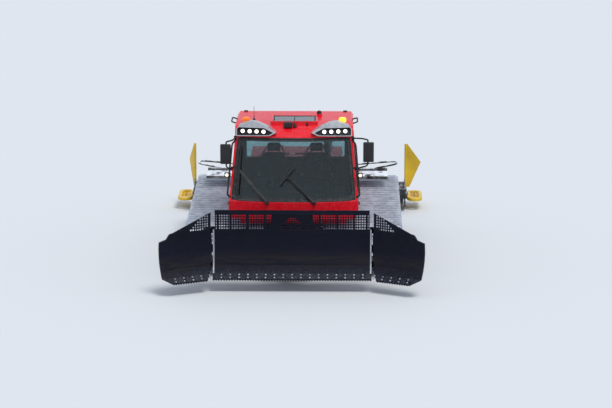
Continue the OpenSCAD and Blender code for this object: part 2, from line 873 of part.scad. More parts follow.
// Exhaust stack on the hood, with a flange and an open slanted end
exhaust_at = [640, 30];
exhaust_r = 66;
exhaust_top = 2560;
module exhaust_stack() {
  color(steel)
  translate([exhaust_at[0], exhaust_at[1], hood_top + seat_gap])
    difference() {
      union() {
        cylinder(r = exhaust_r, h = exhaust_top - hood_top);
        cylinder(r = exhaust_r + 34, h = 14);
        translate([0, 0, 190]) cylinder(r = exhaust_r + 18, h = 330);
      }
      translate([0, 0, 40]) cylinder(r = exhaust_r - 6, h = exhaust_top);
      translate([0, 0, exhaust_top - hood_top])
        rotate([25, 0, 0])
          translate([-200, -200, -10]) cube([400, 400, 200]);
    }
}

// Lamps on the rear corners of the roof
rear_lamp = [[945, -350, 2852], [1025, -270, 2908]];
module rear_lamps() {
  color(dark)
  both()
    difference() {
      box(rear_lamp[0], rear_lamp[1]);
      cab_form(-seat_gap);
    }
}

// Load platform behind the hood: slatted deck on legs, with side rails
deck_z = 1300;
deck_half = 900;
deck_front = hood_rear + 20;
deck_rear = tub_rear + 60;
slot_w = 130;
slot_pitch = 176;
edge_w = 60;
edge_drop = 12;
rail_h = 330;
deck_rail_r = 20;
module load_platform() {
  color(dark) {
    difference() {
      box([-deck_half, deck_front, deck_z - 40], [deck_half, deck_rear, deck_z]);
      for (i = [-4:4])
        box([i * slot_pitch - slot_w / 2, deck_front + 70, deck_z - 50],
            [i * slot_pitch + slot_w / 2, deck_rear - 70, deck_z + 10]);
      // Lowered edges where the rails stand
      both()
        box([deck_half - edge_w, deck_front - 10, deck_z - edge_drop], [deck_half + 10, deck_rear + 10,
            deck_z + 10]);
    }
    both() {
      for (y = [deck_front + 60, tub_rear - 140])
        box([tub_half - 90, y, tub_top + seat_gap], [tub_half - 20, y + 70, deck_z - 39]);
    }
  }
}

// Tube rails along the deck's sides
module deck_rails() {
  color(black)
  both()
    difference() {
      tube_run([[deck_half - 28, deck_front + 30, deck_z - 25], [deck_half - 28, deck_front + 30,
          deck_z + rail_h],
                [deck_half - 28, deck_rear - 30, deck_z + rail_h], [deck_half - 28, deck_rear - 30,
                    deck_z - 25]],
               deck_rail_r);
      box([deck_half - edge_w, deck_front, deck_z - 60], [deck_half + 20, deck_rear,
          deck_z - edge_drop + seat_gap]);
    }
}

// Fender plates over the rear of the tracks, with tube hoops at their outer edges
fender_z = 1320;
fender_y = [900, 1560];
fender_outer = 1860;
hoop_r = 18;
hoop_path = [[1540, fender_y[1] + 17, fender_z + 32], [2060, 1602, 1450], [2070, 2180, 1400],
  [deck_half - 80, 2260, deck_z - 20]];
module fenders() {
  color(black)
  both() {
    box([hood_half + seat_gap, fender_y[0], fender_z], [fender_outer, fender_y[1], fender_z + 12]);
    box([hood_half + seat_gap, fender_y[1] - 80, fender_z + 11], [fender_outer, fender_y[1], fender_z + 60]);
    box([hood_half + seat_gap, fender_y[0], fender_z - 48], [fender_outer, fender_y[0] + 20, fender_z + 1]);
    box([1500, fender_y[1] - 10, fender_z + 5], [1580, fender_y[1] + 45, fender_z + 65]);
    difference() {
      tube_run(hoop_path, hoop_r);
      box([0, 2000, 1000], [deck_half + seat_gap, 2500, 2000]);
    }
  }
}

// Front linkage: pins in [y, z]
push_pin = [tub_front - 110, 560];
push_ear_x = tub_half - 60;
push_pin_r = 30;
swing_at = [0, -2960];
swing_z = [470, 630];
swing_pin_r = 40;
tilt_z = 550;
tilt_pin_r = 55;
carrier_y = [-3145, -3085];
pitch_pin = [-3170, 430];
pitch_x = 300;
lift_top = [tub_front - 100, 880];
lift_foot = [-2810, 700];
lift_x = 210;
barrel_r = 48;
piston_r = 28;
eye_r = 44;
side_gap = 2;
swing_horn = [330, -3050];
swing_cyl_z = 700;
beam_end = -2770;

module push_frame() {
  color(dark) {
    // Side beams with eyes on the tub's pins, and a cross beam
    both()
      across(push_ear_x - 19, push_ear_x + 40)
        union() {
          polygon([push_pin + [0, -62], [beam_end - 90, 475], [beam_end - 90, 636], push_pin + [0, 62]]);
          translate(push_pin) circle(r = 62);
        }
    both() rod_x(push_pin, push_pin_r, push_ear_x - 70, push_ear_x + 20);
    box([-push_ear_x - 39, beam_end - 89, 476], [push_ear_x + 39, beam_end, 635]);
    // Clevis plates above and below the knuckle, and its pin
    for (z = [swing_z[0] - 32, swing_z[1] + side_gap])
      translate([0, 0, z])
        linear_extrude(30)
          union() {
            polygon([[-160, beam_end - 20], [-98, swing_at[1]], [98, swing_at[1]], [160, beam_end - 20]]);
            translate(swing_at) circle(r = 98);
          }
    translate([0, 0, swing_z[0] - 10]) translate(swing_at) cylinder(r = swing_pin_r,
        h = swing_z[1] - swing_z[0] + 20);
    both() {
      // Ear beside the lift rod's eye
      across(lift_x + 29 + side_gap, lift_x + 52)
        union() {
          polygon([[beam_end - 80, 630], [beam_end - 5, 630], lift_foot + [38, 0], lift_foot + [-38, 0]]);
          translate(lift_foot) circle(r = 40);
        }
      // Swing cylinder's barrel on a bracket
      difference() {
        rod_y([swing_horn[0], swing_cyl_z], barrel_r - 8, -2720, -2420);
        rod_y([swing_horn[0], swing_cyl_z], piston_r - 8 + 0.4, -2725, -2440);
      }
      translate([push_ear_x - 19, -2430, 560]) box([-100, -40, 0], [30, 0, 105]);
    }
  }
}

module swing_knuckle() {
  color(dark) {
    difference() {
      union() {
        translate([0, 0, swing_z[0]]) translate(swing_at) cylinder(r = 95, h = swing_z[1] - swing_z[0]);
        box([-90, carrier_y[1] + 10, swing_z[0] + 10], [90, swing_at[1], swing_z[1] - 10]);
        both() box([60, carrier_y[1] + 10, swing_z[1] - 60], [swing_horn[0] + 40, swing_horn[1] + 40,
            swing_z[1] - 10]);
      }
      translate([0, 0, swing_z[0] - 1]) translate(swing_at) cylinder(r = swing_pin_r + pin_gap,
          h = swing_z[1] - swing_z[0] + 2);
    }
    rod_y([0, tilt_z], tilt_pin_r, carrier_y[0] + 4, carrier_y[1] + 11);
    both()
      translate([swing_horn[0], swing_horn[1], swing_z[1] - 11])
        cylinder(r = 24, h = swing_cyl_z - 26 - side_gap - swing_z[1] + 11);
  }
}

// Rod of a swing cylinder, its eye above the knuckle's horn
module swing_rod() {
  color(steel) {
    rod_y([swing_horn[0], swing_cyl_z], piston_r - 8, swing_horn[1] + 30, -2560);
    translate([swing_horn[0], swing_horn[1], swing_cyl_z - 26]) cylinder(r = eye_r - 6, h = 52);
  }
}

module swing_rods_left() {
  swing_rod();
}

module swing_rods_right() {
  mirror([1, 0, 0]) swing_rod();
}

module blade_carrier() {
  color(dark)
  difference() {
    union() {
      box([-pitch_x + side_gap, carrier_y[0], 380], [pitch_x - side_gap, carrier_y[1], 655]);
      both() across(pitch_x - 60, pitch_x - side_gap) link2d(pitch_pin, [carrier_y[0] + 20,
          pitch_pin[1]], 46);
      both() rod_x(pitch_pin, 26, pitch_x - 40, pitch_x + 30);
    }
    rod_y([0, tilt_z], tilt_pin_r + pin_gap, carrier_y[0] - 10, carrier_y[1] + 10);
  }
}

// Cylinders that lift the front: barrels hang from the tub, rods end beside the frame's ears
lift_dir = (lift_foot - lift_top) / norm(lift_foot - lift_top);
function on_yz(x, p) = [x, p[0], p[1]];
lift_barrel_len = 335;
lift_bore_from = 50;
module blade_lift_barrels() {
  color(dark)
  both() {
    difference() {
      union() {
        bar(on_yz(lift_x, lift_top + lift_dir * 46), on_yz(lift_x,
            lift_top + lift_dir * lift_barrel_len), barrel_r);
        rod_x(lift_top, eye_r + 4, lift_x - 26, lift_x + 26);
      }
      rod_x(lift_top, 22 + pin_gap, lift_x - 60, lift_x + 60);
      bar(on_yz(lift_x, lift_top + lift_dir * lift_bore_from), on_yz(lift_x,
          lift_top + lift_dir * (lift_barrel_len + 5)), piston_r + 0.4);
    }
  }
}

module blade_lift_rods() {
  color(steel)
  both() {
    bar(on_yz(lift_x, lift_top + lift_dir * 218), on_yz(lift_x, lift_foot - lift_dir * 20), piston_r);
    rod_x(lift_foot, eye_r - 6, lift_x - 29, lift_x + 29);
  }
}

// Blade, drawn with its cutting edge's middle at the origin
hollow_z = 620;
hollow_y = -sqrt(blade_r * blade_r - hollow_z * hollow_z);
function face_y(z) = hollow_y + sqrt(blade_r * blade_r - (z - hollow_z) * (z - hollow_z));
function back_y(z) = hollow_y + sqrt((blade_r + blade_t) * (blade_r + blade_t) - (z - hollow_z) * (z - hollow_z));
wing_hinge_y = face_y(hollow_z) + blade_t + 42;
wing_limit = 37;
centre_cut = 0.3;
wing_cut = wing_limit + 0.3;
frame_back = wing_hinge_y;
guard_y = face_y(blade_h) + 4;
guard_t = 12;
guard_foot = blade_h - 10;
guard_top = blade_h + guard_h;

module at_blade() {
  translate([0, blade_y, blade_lift]) children();
}

// Hollow face with its cutting edge, from x0 to x1
module face(x0, x1) {
  across(x0, x1)
    intersection() {
      difference() {
        translate([hollow_y, hollow_z]) circle(r = blade_r + blade_t, $fn = 180);
        translate([hollow_y, hollow_z]) circle(r = blade_r, $fn = 180);
      }
      translate([0, 60]) square([600, blade_h - 60]);
    }
  across(x0, x1) polygon([[-8, 30], [14, 30], [face_y(130) + 6, 130], [face_y(130) - 20, 130]]);
  // Saw teeth along the foot
  teeth = floor((x1 - x0) / tooth_pitch);
  pitch = (x1 - x0) / teeth;
  along(-8, 12)
    polygon(concat(
      [for (i = [0:teeth - 1]) each [[x0 + i * pitch, 26], [x0 + (i + 0.5) * pitch, 0]]],
      [[x1, 26], [x1, 42], [x0, 42]]));
}

// Everything beyond the middle section's end, turned by an angle at the wing's hinge
module beyond_hinge(turn) {
  g = panel_gap / 2;
  translate([blade_half, wing_hinge_y, -500])
    linear_extrude(3000)
      polygon([[-g, 500], [-g, 0], [-g - 800 * tan(turn), -800], [900, -800], [900, 500]]);
}

hinge_zs = [190, 500, 850];
wing_knuckle_r = 36;
wing_pin_r = 16;
knuckle_h = 60;
knuckle_in = 12;
knuckle_arm = [panel_gap / 2 + 6, 190];
// Knuckle with its arm to the face; the arm's front edge is turned back by cut
module wing_knuckle(z, side, bore, cut) {
  reach = wing_hinge_y - back_y(z) + knuckle_in;
  translate([blade_half, wing_hinge_y, z])
    linear_extrude(knuckle_h)
      difference() {
        union() {
          circle(r = wing_knuckle_r);
          polygon([
            [side * knuckle_arm[0], 0], [0, wing_knuckle_r - 2], [side * knuckle_arm[1], -10],
            [side * knuckle_arm[1], -reach], [side * (knuckle_arm[0] + reach * tan(cut)), -reach]
          ]);
        }
        if (bore > 0) circle(r = bore);
      }
}

rib_xs = [150, 480, 810, 1140, 1420];
module rib(x, t) {
  across(x - t / 2, x + t / 2)
    difference() {
      polygon([[face_y(150) + 10, 150], [frame_back - 1, 150], [frame_back - 1, blade_h - 21],
          [face_y(blade_h - 30) + 10, blade_h - 21]]);
      translate([hollow_y, hollow_z]) circle(r = blade_r + blade_t - 2, $fn = 180);
    }
}

// Eye of the wing's cylinder from the wing's hinge, with the wing straight and as stored
wing_eye = [120, 150];
wing_eye_rest = [
  wing_eye[0] * cos(wing_angle) + wing_eye[1] * sin(wing_angle),
  wing_eye[1] * cos(wing_angle) - wing_eye[0] * sin(wing_angle)
];
wing_cyl = [[700, wing_hinge_y + wing_eye_rest[1]], 760];
post_xs = [520, 850, 1160, 1400];
module blade_center() {
  color(navy)
  at_blade() {
    difference() {
      union() {
        face(-blade_half, blade_half);
        across(-blade_half + 60, blade_half - 60) box2d([back_y(200) - 12, 170], [frame_back, 300]);
        across(-blade_half + 60, blade_half - 60) box2d([back_y(880) - 12, blade_h - 110], [frame_back,
            blade_h - 20]);
        both() for (x = rib_xs) rib(x, 20);
      }
      beyond_hinge(centre_cut);
      mirror([1, 0, 0]) beyond_hinge(centre_cut);
    }
    both() {
      for (z = hinge_zs) {
        wing_knuckle(z, -1, 0, wing_angle);
        translate([blade_half, wing_hinge_y, z + 1]) cylinder(r = wing_pin_r, h = 2 * knuckle_h);
      }
      // Ears on the pitch pins
      across(pitch_x, pitch_x + 28)
        difference() {
          link2d(pitch_pin - [blade_y, blade_lift], [frame_back - 30, pitch_pin[1] - blade_lift + 20], 46);
          translate(pitch_pin - [blade_y, blade_lift]) circle(r = 26 + pin_gap);
        }
      // Barrel of the wing's cylinder on its bracket
      difference() {
        rod_x([wing_cyl[0][1], wing_cyl[1]], barrel_r - 12, wing_cyl[0][0], 1270);
        rod_x([wing_cyl[0][1], wing_cyl[1]], piston_r - 10 + 0.4, wing_cyl[0][0] + 60, 1275);
      }
      box([wing_cyl[0][0] - 40, frame_back - 40, wing_cyl[1] - 30], [wing_cyl[0][0] + 30,
          wing_cyl[0][1] + 30, wing_cyl[1] + 30]);
      rib(wing_cyl[0][0] - 5, 60);
    }
    // Posts behind the guard and the arch over the middle
    both() for (x = post_xs) box([x - 20, guard_y + guard_t + seat_gap, blade_h - 60], [x + 20,
        frame_back - 20, guard_top - 40]);
    tube_run([[-360, guard_y + guard_t + 60, blade_h - 40], [-360, guard_y + guard_t + 60, guard_top - 90],
              [-250, guard_y + guard_t + 60, guard_top - 40], [250, guard_y + guard_t + 60, guard_top - 40],
              [360, guard_y + guard_t + 60, guard_top - 90], [360, guard_y + guard_t + 60,
                  blade_h - 40]], 24);
  }
}

module box2d(a, b) {
  translate(a) square(b - a);
}

guard_rows = floor((guard_h - 36) / guard_pitch);
guard_cols = floor((blade_half * 2 - 80) / guard_pitch);
module blade_guard() {
  color(navy)
  at_blade()
    difference() {
      along(guard_y, guard_y + guard_t) box2d([-blade_half + 46, blade_h + seat_gap], [blade_half - 46,
          guard_top]);
      for (i = [0:guard_cols - 1])
        for (j = [0:guard_rows - 1])
          translate([(i - (guard_cols - 1) / 2) * guard_pitch, guard_y + guard_t / 2,
              blade_h + 24 + j * guard_pitch])
            cube([guard_hole, 40, guard_hole], center = true);
    }
}

// Wing, drawn straight on beyond the middle section
wing_tip_x = blade_half + wing_len;
module wing() {
  color(navy)
  at_blade()
    translate([blade_half, wing_hinge_y, 0])
      rotate(-wing_angle)
        translate([-blade_half, -wing_hinge_y, 0]) {
          difference() {
            union() {
              intersection() {
                union() {
                  face(blade_half - 300, wing_tip_x);
                  along(guard_y, guard_y + guard_t + 6) box2d([blade_half - 300, guard_foot],
                      [wing_tip_x, guard_top]);
                }
                along(-300, 600)
                  polygon([
                    [blade_half - 300, -10], [wing_tip_x - 220, -10], [wing_tip_x, 110], [wing_tip_x, 790],
                    [wing_tip_x - 140, 835], [wing_tip_x - 190, 930], [blade_half, guard_top],
                        [blade_half - 300, guard_top]
                  ]);
              }
              across(blade_half + 70, wing_tip_x - 120) box2d([back_y(200) - 12, 170], [frame_back, 300]);
              across(blade_half + 70, wing_tip_x - 260) box2d([back_y(880) - 12, blade_h - 110],
                  [frame_back, blade_h - 40]);
              for (x = [190, 460, 760]) wing_rib(blade_half + x);
            }
            translate([2 * blade_half, 0, 0]) mirror([1, 0, 0]) beyond_hinge(wing_cut);
            for (i = [0:8])
              for (j = [0:6])
                if (120 + i * guard_pitch + (j + 1) * guard_pitch < 520)
                  translate([blade_half + 170 + i * guard_pitch, guard_y + guard_t / 2,
                      blade_h + 24 + j * guard_pitch])
                    cube([guard_hole, 60, guard_hole], center = true);
          }
          for (z = hinge_zs) wing_knuckle(z + knuckle_h + side_gap, 1, wing_pin_r + pin_gap, wing_cut);
          // Lug under the cylinder's eye
          translate([blade_half, wing_hinge_y, wing_cyl[1] - 26 - side_gap - 24])
            linear_extrude(24)
              union() {
                polygon([[70, -blade_t], [wing_eye[0] - 30, wing_eye[1]], [wing_eye[0] + 30,
                    wing_eye[1]], [260, -blade_t]]);
                translate(wing_eye) circle(r = 34);
              }
        }
}

module wing_rib(x) {
  intersection() {
    rib(x, 20);
    along(-300, 600) polygon([[x - 40, 0], [x + 40, 0], [x + 40, 900], [x - 40, 900]]);
  }
}

module blade_wing_left() {
  wing();
}

module blade_wing_right() {
  mirror([1, 0, 0]) wing();
}

// Rod from the barrel to above the wing's lug in the stored pose
module wing_rod() {
  color(steel)
  at_blade() {
    rod_x([wing_cyl[0][1], wing_cyl[1]], piston_r - 10, 1000, blade_half + wing_eye_rest[0]);
    translate([blade_half + wing_eye_rest[0], wing_cyl[0][1], wing_cyl[1] - 26]) cylinder(r = 32, h = 52);
  }
}

module wing_rod_left() {
  wing_rod();
}

module wing_rod_right() {
  mirror([1, 0, 0]) wing_rod();
}

// Rear linkage: pins in [y, z]
rear_pin = [tub_rear + 100, 720];
rear_ear_x = tub_half - 60;
rear_lift_top = [tub_rear + 60, 960];
rear_lift_foot = [2960, 700];
rear_beam = [3010, 3090];
swivel_at = [0, 3180];
swivel_z = [500, 640];
roll_z = 570;
module rear_lift_frame() {
  color(dark) {
    both() {
      across(rear_ear_x - 19, rear_ear_x + 40)
        union() {
          polygon([rear_pin + [0, -60], [rear_beam[1], 500], [rear_beam[1], 640], rear_pin + [0, 60]]);
          translate(rear_pin) circle(r = 60);
        }
      rod_x(rear_pin, push_pin_r, rear_ear_x - 70, rear_ear_x + 20);
      across(lift_x + 29 + side_gap, lift_x + 52)
        union() {
          polygon([[rear_beam[0] + 2, 620], [rear_beam[1], 635], rear_lift_foot + [30, 30],
              rear_lift_foot + [-10, -38]]);
          translate(rear_lift_foot) circle(r = 40);
        }
    }
    box([-rear_ear_x - 39, rear_beam[0], 501], [rear_ear_x + 39, rear_beam[1] - 1, 639]);
    for (z = [swivel_z[0] - 32, swivel_z[1] + side_gap])
      translate([0, 0, z])
        linear_extrude(30)
          union() {
            polygon([[-200, rear_beam[0] + 20], [-88, swivel_at[1]], [88, swivel_at[1]], [200,
                rear_beam[0] + 20]]);
            translate(swivel_at) circle(r = 88);
          }
    translate([0, 0, swivel_z[0] - 10]) translate(swivel_at) cylinder(r = swing_pin_r,
        h = swivel_z[1] - swivel_z[0] + 20);
    box([-200, rear_beam[0] + 22, swivel_z[0] - 32], [200, rear_beam[1] - 2, swivel_z[1] + side_gap + 30]);
  }
}

rear_lift_dir = (rear_lift_foot - rear_lift_top) / norm(rear_lift_foot - rear_lift_top);
module rear_lift_barrels() {
  color(dark)
  both() {
    difference() {
      union() {
        bar(on_yz(lift_x, rear_lift_top + rear_lift_dir * 46), on_yz(lift_x,
            rear_lift_top + rear_lift_dir * 380), barrel_r);
        rod_x(rear_lift_top, eye_r + 4, lift_x - 26, lift_x + 26);
      }
      rod_x(rear_lift_top, 22 + pin_gap, lift_x - 60, lift_x + 60);
      bar(on_yz(lift_x, rear_lift_top + rear_lift_dir * 120), on_yz(lift_x,
          rear_lift_top + rear_lift_dir * 385), piston_r + 0.4);
    }
  }
}

module rear_lift_rods() {
  color(steel)
  both() {
    bar(on_yz(lift_x, rear_lift_top + rear_lift_dir * 310), on_yz(lift_x,
        rear_lift_foot - rear_lift_dir * 20), piston_r);
    rod_x(rear_lift_foot, eye_r - 6, lift_x - 29, lift_x + 29);
  }
}

// Swivel on the frame's pin, with the roll pin that carries the tiller
roll_face = 3345;
module tiller_swivel() {
  color(dark) {
    difference() {
      union() {
        translate([0, 0, swivel_z[0]]) translate(swivel_at) cylinder(r = 85, h = swivel_z[1] - swivel_z[0]);
        box([-80, swivel_at[1], swivel_z[0] + 5], [80, roll_face - side_gap, swivel_z[1] - 5]);
        box([-230, roll_face - 60, swivel_z[0] - 60], [230, roll_face - side_gap, swivel_z[1] + 60]);
      }
      translate([0, 0, swivel_z[0] - 1]) translate(swivel_at) cylinder(r = swing_pin_r + pin_gap,
          h = swivel_z[1] - swivel_z[0] + 2);
    }
    rod_y([0, roll_z], tilt_pin_r, roll_face - 10, roll_face + 80);
  }
}

// Tiller: cover over the rotor with end walls and a headstock
cover_r = 262;
cover_t = 14;
comb_y = tiller_y + 190;
module tiller_housing() {
  color(dark) {
    across(-tiller_half, tiller_half)
      translate([tiller_y, tiller_z])
        intersection() {
          difference() {
            circle(r = cover_r + cover_t);
            circle(r = cover_r);
          }
          translate([-300, -40]) square([600, 400]);
        }
    // End walls with the rotor's bearings
    both()
      across(tiller_half - 20, tiller_half)
        difference() {
          union() {
            translate([tiller_y, tiller_z]) circle(r = cover_r + 4);
            translate([tiller_y - cover_r - 4, tiller_z - 200]) square([2 * cover_r + 8, 200]);
          }
          translate([tiller_y - 400, -400]) square([800, 400 + 60]);
          translate([tiller_y, tiller_z]) circle(r = 50 + pin_gap);
        }
    // Tool beam along the front, its top ribs and the headstock
    across(-tiller_half, tiller_half) box2d([tiller_y - 430, tiller_z + 60], [tiller_y - 255,
        tiller_z + 190]);
    for (x = [-tiller_half + 10, -1500, -750, -10, 740, 1490, tiller_half - 30])
      across(x, x + 20)
        difference() {
          polygon([[tiller_y - 420, tiller_z + 180], [tiller_y - 300, tiller_z + 330], [tiller_y + 60,
              tiller_z + 330],
                   [tiller_y + 255, tiller_z + 120], [tiller_y - 300, tiller_z + 80]]);
          translate([tiller_y, tiller_z]) circle(r = cover_r + cover_t - 2);
        }
    // Arms and pins that carry the side plates
    both() {
      box([tiller_half - 20, tiller_y + 180, plate_foot - 42], [tiller_half + 34, plate_at[1] + 26,
          plate_foot - side_gap]);
      translate([plate_at[0], plate_at[1], plate_foot - 10]) cylinder(r = plate_pin_r, h = 950);
    }
    difference() {
      across(-260, 260) polygon([[roll_face, roll_z - 110], [roll_face, roll_z + 110], [tiller_y - 380,
          tiller_z + 185], [tiller_y - 380, tiller_z + 65]]);
      rod_y([0, roll_z], tilt_pin_r + pin_gap, roll_face - 10, roll_face + 82);
    }
  }
}

// Rotor: a tube with rows of tines, stepped round from row to row
rotor_half = tiller_half - 30;
tine_step = 2 * (rotor_half - 40) / (tine_rows - 1);
module tiller_rotor() {
  color(steel) {
    rod_x([tiller_y, tiller_z], rotor_r, -rotor_half, rotor_half);
    rod_x([tiller_y, tiller_z], 50, -tiller_half - 30, tiller_half + 30);
    for (i = [0:tine_rows - 1])
      translate([-rotor_half + 40 + i * tine_step - 8, tiller_y, tiller_z])
        rotate([i * 25, 0, 0])
          across(0, 16)
            for (k = [0:3])
              rotate(k * 90)
                polygon([[rotor_r - 12, -45], [tine_r, -8], [tine_r, 14], [rotor_r - 12, 45]]);
  }
}

// Comb behind the rotor: a mat with ridges that leaves the ribbed track
comb_back = 4640;
ridge_pitch = 100;
module tiller_comb() {
  color(black) {
    across(-tiller_half + 30, tiller_half - 30)
      polygon([[comb_y + 100, 235], [comb_y + 100, 265], [comb_y + 300, 70], [comb_back, 45], [comb_back,
          30], [comb_y + 290, 42]]);
    ridges = floor((2 * tiller_half - 160) / ridge_pitch);
    for (i = [0:ridges - 1])
      translate([(i - (ridges - 1) / 2) * ridge_pitch - 9, 0, 0])
        across(0, 18) polygon([[comb_y + 290, 55], [comb_back - 4, 36], [comb_back - 4, 8],
            [comb_y + 330, 12]]);
    across(-tiller_half + 30, tiller_half - 30) box2d([tiller_y + 268, 225], [comb_y + 102, 275]);
    for (x = [-tiller_half + 160, -1150, 1100, tiller_half - 210])
      across(x, x + 50)
        difference() {
          polygon([[tiller_y + 200, tiller_z + 190], [tiller_y + 250, tiller_z + 190], [tiller_y + 295,
              270], [tiller_y + 270, 270]]);
          translate([tiller_y, tiller_z]) circle(r = cover_r + cover_t + seat_gap);
        }
  }
}

// Rounded finishers at the tiller's ends: flat rings beside the tracks' marks
ring_y = [tiller_y - 180, tiller_y + 700];
ring_z = [200, 282];
ring_wall = 82;
ring_r = (skid_w - 35) / 2;
module ring_outline(r) {
  for (y = ring_y)
    translate([tiller_half + 35 + ring_r, y + (y == ring_y[0] ? ring_r : -ring_r)]) circle(r = r);
  translate([tiller_half + 35 + ring_r - r, ring_y[0] + ring_r]) square([2 * r,
      ring_y[1] - ring_y[0] - 2 * ring_r]);
}

module tiller_skids() {
  color(yellow)
  both() {
    translate([0, 0, ring_z[0]])
      linear_extrude(ring_z[1] - ring_z[0])
        difference() {
          ring_outline(ring_r);
          ring_outline(ring_r - ring_wall);
        }
    translate([0, 0, ring_z[0] + 25])
      linear_extrude(20)
        ring_outline(ring_r - ring_wall + eps);
    for (y = [75, 190])
      box([tiller_half, tiller_y + y, ring_z[0] + 10], [tiller_half + 45, tiller_y + y + 60, ring_z[1] + 60]);
  }
}

// Kite-shaped plates at the tiller's ends, hinged on an upright edge
plate_at = [tiller_half + 10, 4330];
plate_foot = 400;
plate_pin_r = 14;
function kite() = [[0, 0], [90, 10], [330, 560], [40, 960], [0, 960]];
module side_plate(a) {
  color(yellow)
  translate([plate_at[0], plate_at[1], plate_foot])
    rotate(a)
      difference() {
        union() {
          along(-6, 6) polygon(kite());
          cylinder(r = 26, h = 960);
        }
        translate([0, 0, -1]) cylinder(r = plate_pin_r + pin_gap, h = 970);
      }
}

side_plate_angle_left = 0;
side_plate_angle_right = 65;
module side_plate_left() {
  side_plate(side_plate_angle_left);
}

module side_plate_right() {
  mirror([1, 0, 0]) side_plate(side_plate_angle_right);
}

// Each sub-part is placed with the machine's middle at the origin
module placed() {
  translate([0, frame_y, 0]) children();
}

placed() chassis_tub();
placed() axle_arms();
placed() load_wheels();
placed() sprockets();
placed() track_left();
placed() track_right();
placed() engine_block();
placed() cab_shell();
placed() cab_roof();
placed() cab_glass();
placed() door_left();
placed() door_right();
placed() door_glass_left();
placed() door_glass_right();
placed() headlamp_pods();
placed() headlamps();
placed() rear_lamps();
placed() exhaust_stack();
placed() beacons();
placed() roof_fittings();
placed() mirrors();
placed() wipers();
placed() grab_rails();
placed() work_lamps();
placed() seats();
placed() dashboard();
placed() steering_yoke();
placed() engine_housing();
placed() load_platform();
placed() deck_rails();
placed() fenders();
placed() push_frame();
placed() swing_knuckle();
placed() blade_carrier();
placed() blade_center();
placed() blade_guard();
placed() blade_wing_left();
placed() blade_wing_right();
placed() blade_lift_barrels();
placed() blade_lift_rods();
placed() swing_rods_left();
placed() swing_rods_right();
placed() wing_rod_left();
placed() wing_rod_right();
placed() rear_lift_frame();
placed() rear_lift_barrels();
placed() rear_lift_rods();
placed() tiller_swivel();
placed() tiller_housing();
placed() tiller_rotor();
placed() tiller_comb();
placed() tiller_skids();
placed() side_plate_left();
placed() side_plate_right();
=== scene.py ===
import json
import math

import bmesh
import bpy
from mathutils import Matrix, Vector

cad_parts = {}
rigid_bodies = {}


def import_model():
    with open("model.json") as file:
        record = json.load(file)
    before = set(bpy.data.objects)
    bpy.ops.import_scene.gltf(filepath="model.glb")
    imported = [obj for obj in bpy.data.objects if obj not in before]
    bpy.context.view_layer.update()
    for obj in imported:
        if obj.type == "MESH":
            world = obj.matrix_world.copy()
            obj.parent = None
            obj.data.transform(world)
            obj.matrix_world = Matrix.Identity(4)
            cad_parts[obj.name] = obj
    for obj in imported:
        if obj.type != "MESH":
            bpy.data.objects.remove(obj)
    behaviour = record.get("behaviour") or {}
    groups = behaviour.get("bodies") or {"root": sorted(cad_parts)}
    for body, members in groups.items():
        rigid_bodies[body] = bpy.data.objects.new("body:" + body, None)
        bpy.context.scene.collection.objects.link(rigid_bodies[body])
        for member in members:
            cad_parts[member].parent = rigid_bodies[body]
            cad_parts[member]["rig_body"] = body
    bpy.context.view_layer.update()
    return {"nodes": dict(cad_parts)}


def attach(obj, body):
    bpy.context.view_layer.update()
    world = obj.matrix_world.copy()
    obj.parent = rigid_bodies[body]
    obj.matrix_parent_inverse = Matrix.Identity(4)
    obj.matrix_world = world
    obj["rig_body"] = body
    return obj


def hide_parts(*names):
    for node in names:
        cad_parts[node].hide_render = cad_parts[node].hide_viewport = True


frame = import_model()
nodes = frame["nodes"]
scene = bpy.context.scene
shiftY = -0.3262  # the tracks' middle along the machine


def mm(x, y, z):
    # a point in millimetres, measured from the tracks' middle, in the frame's metres
    return Vector((x / 1000, y / 1000 + shiftY, z / 1000))


def spot(x, y, z):
    # an unturned frame at a point in millimetres
    return Matrix.Translation(mm(x, y, z))


def turnedTo(x, y, z):
    # a turn that takes the axes to three unit vectors
    return Matrix((x, y, z)).transposed().to_4x4()


def newMaterial(name, **plain):
    material = bpy.data.materials.new(name)
    material.use_nodes = True
    shader = material.node_tree.nodes["Principled BSDF"]
    for label, value in plain.items():
        shader.inputs[label].default_value = value
    return material, material.node_tree, shader


# camera, light and floor
view = {
    "distance": 48.0,
    "lookDown": 12.12,
    "turn": 1.01,
    "focalPixels": 2378.0,
    "imageWidth": 612,
    "sensor": 36,
    "clipEnd": 400,
    "target": (0.2008, shiftY, 0.9388),
}
lighting = {
    "sky": (0.80, 0.88, 1.0),
    "skyStrength": 0.72,
    "sun": (1.0, 0.97, 0.92),
    "sunStrength": 1.75,
    "sunAngle": 24,
    "sunTurn": (26, 0, 40),
    "floor": (0.69, 0.71, 0.735),
    "floorSize": 500,
}


def addCamera():
    a, e = math.radians(view["turn"]), math.radians(view["lookDown"])
    forward = Vector((-math.sin(a) * math.cos(e), math.cos(a) * math.cos(e), -math.sin(e)))
    right = Vector((math.cos(a), math.sin(a), 0))
    data = bpy.data.cameras.new("photoCamera")
    data.sensor_width = view["sensor"]
    data.lens = view["focalPixels"] * data.sensor_width / view["imageWidth"]
    data.clip_end = view["clipEnd"]
    camera = bpy.data.objects.new("photoCamera", data)
    scene.collection.objects.link(camera)
    place = Matrix.Translation(Vector(view["target"]) - view["distance"] * forward)
    camera.matrix_world = place @ turnedTo(right, right.cross(forward), -forward)
    scene.camera = camera


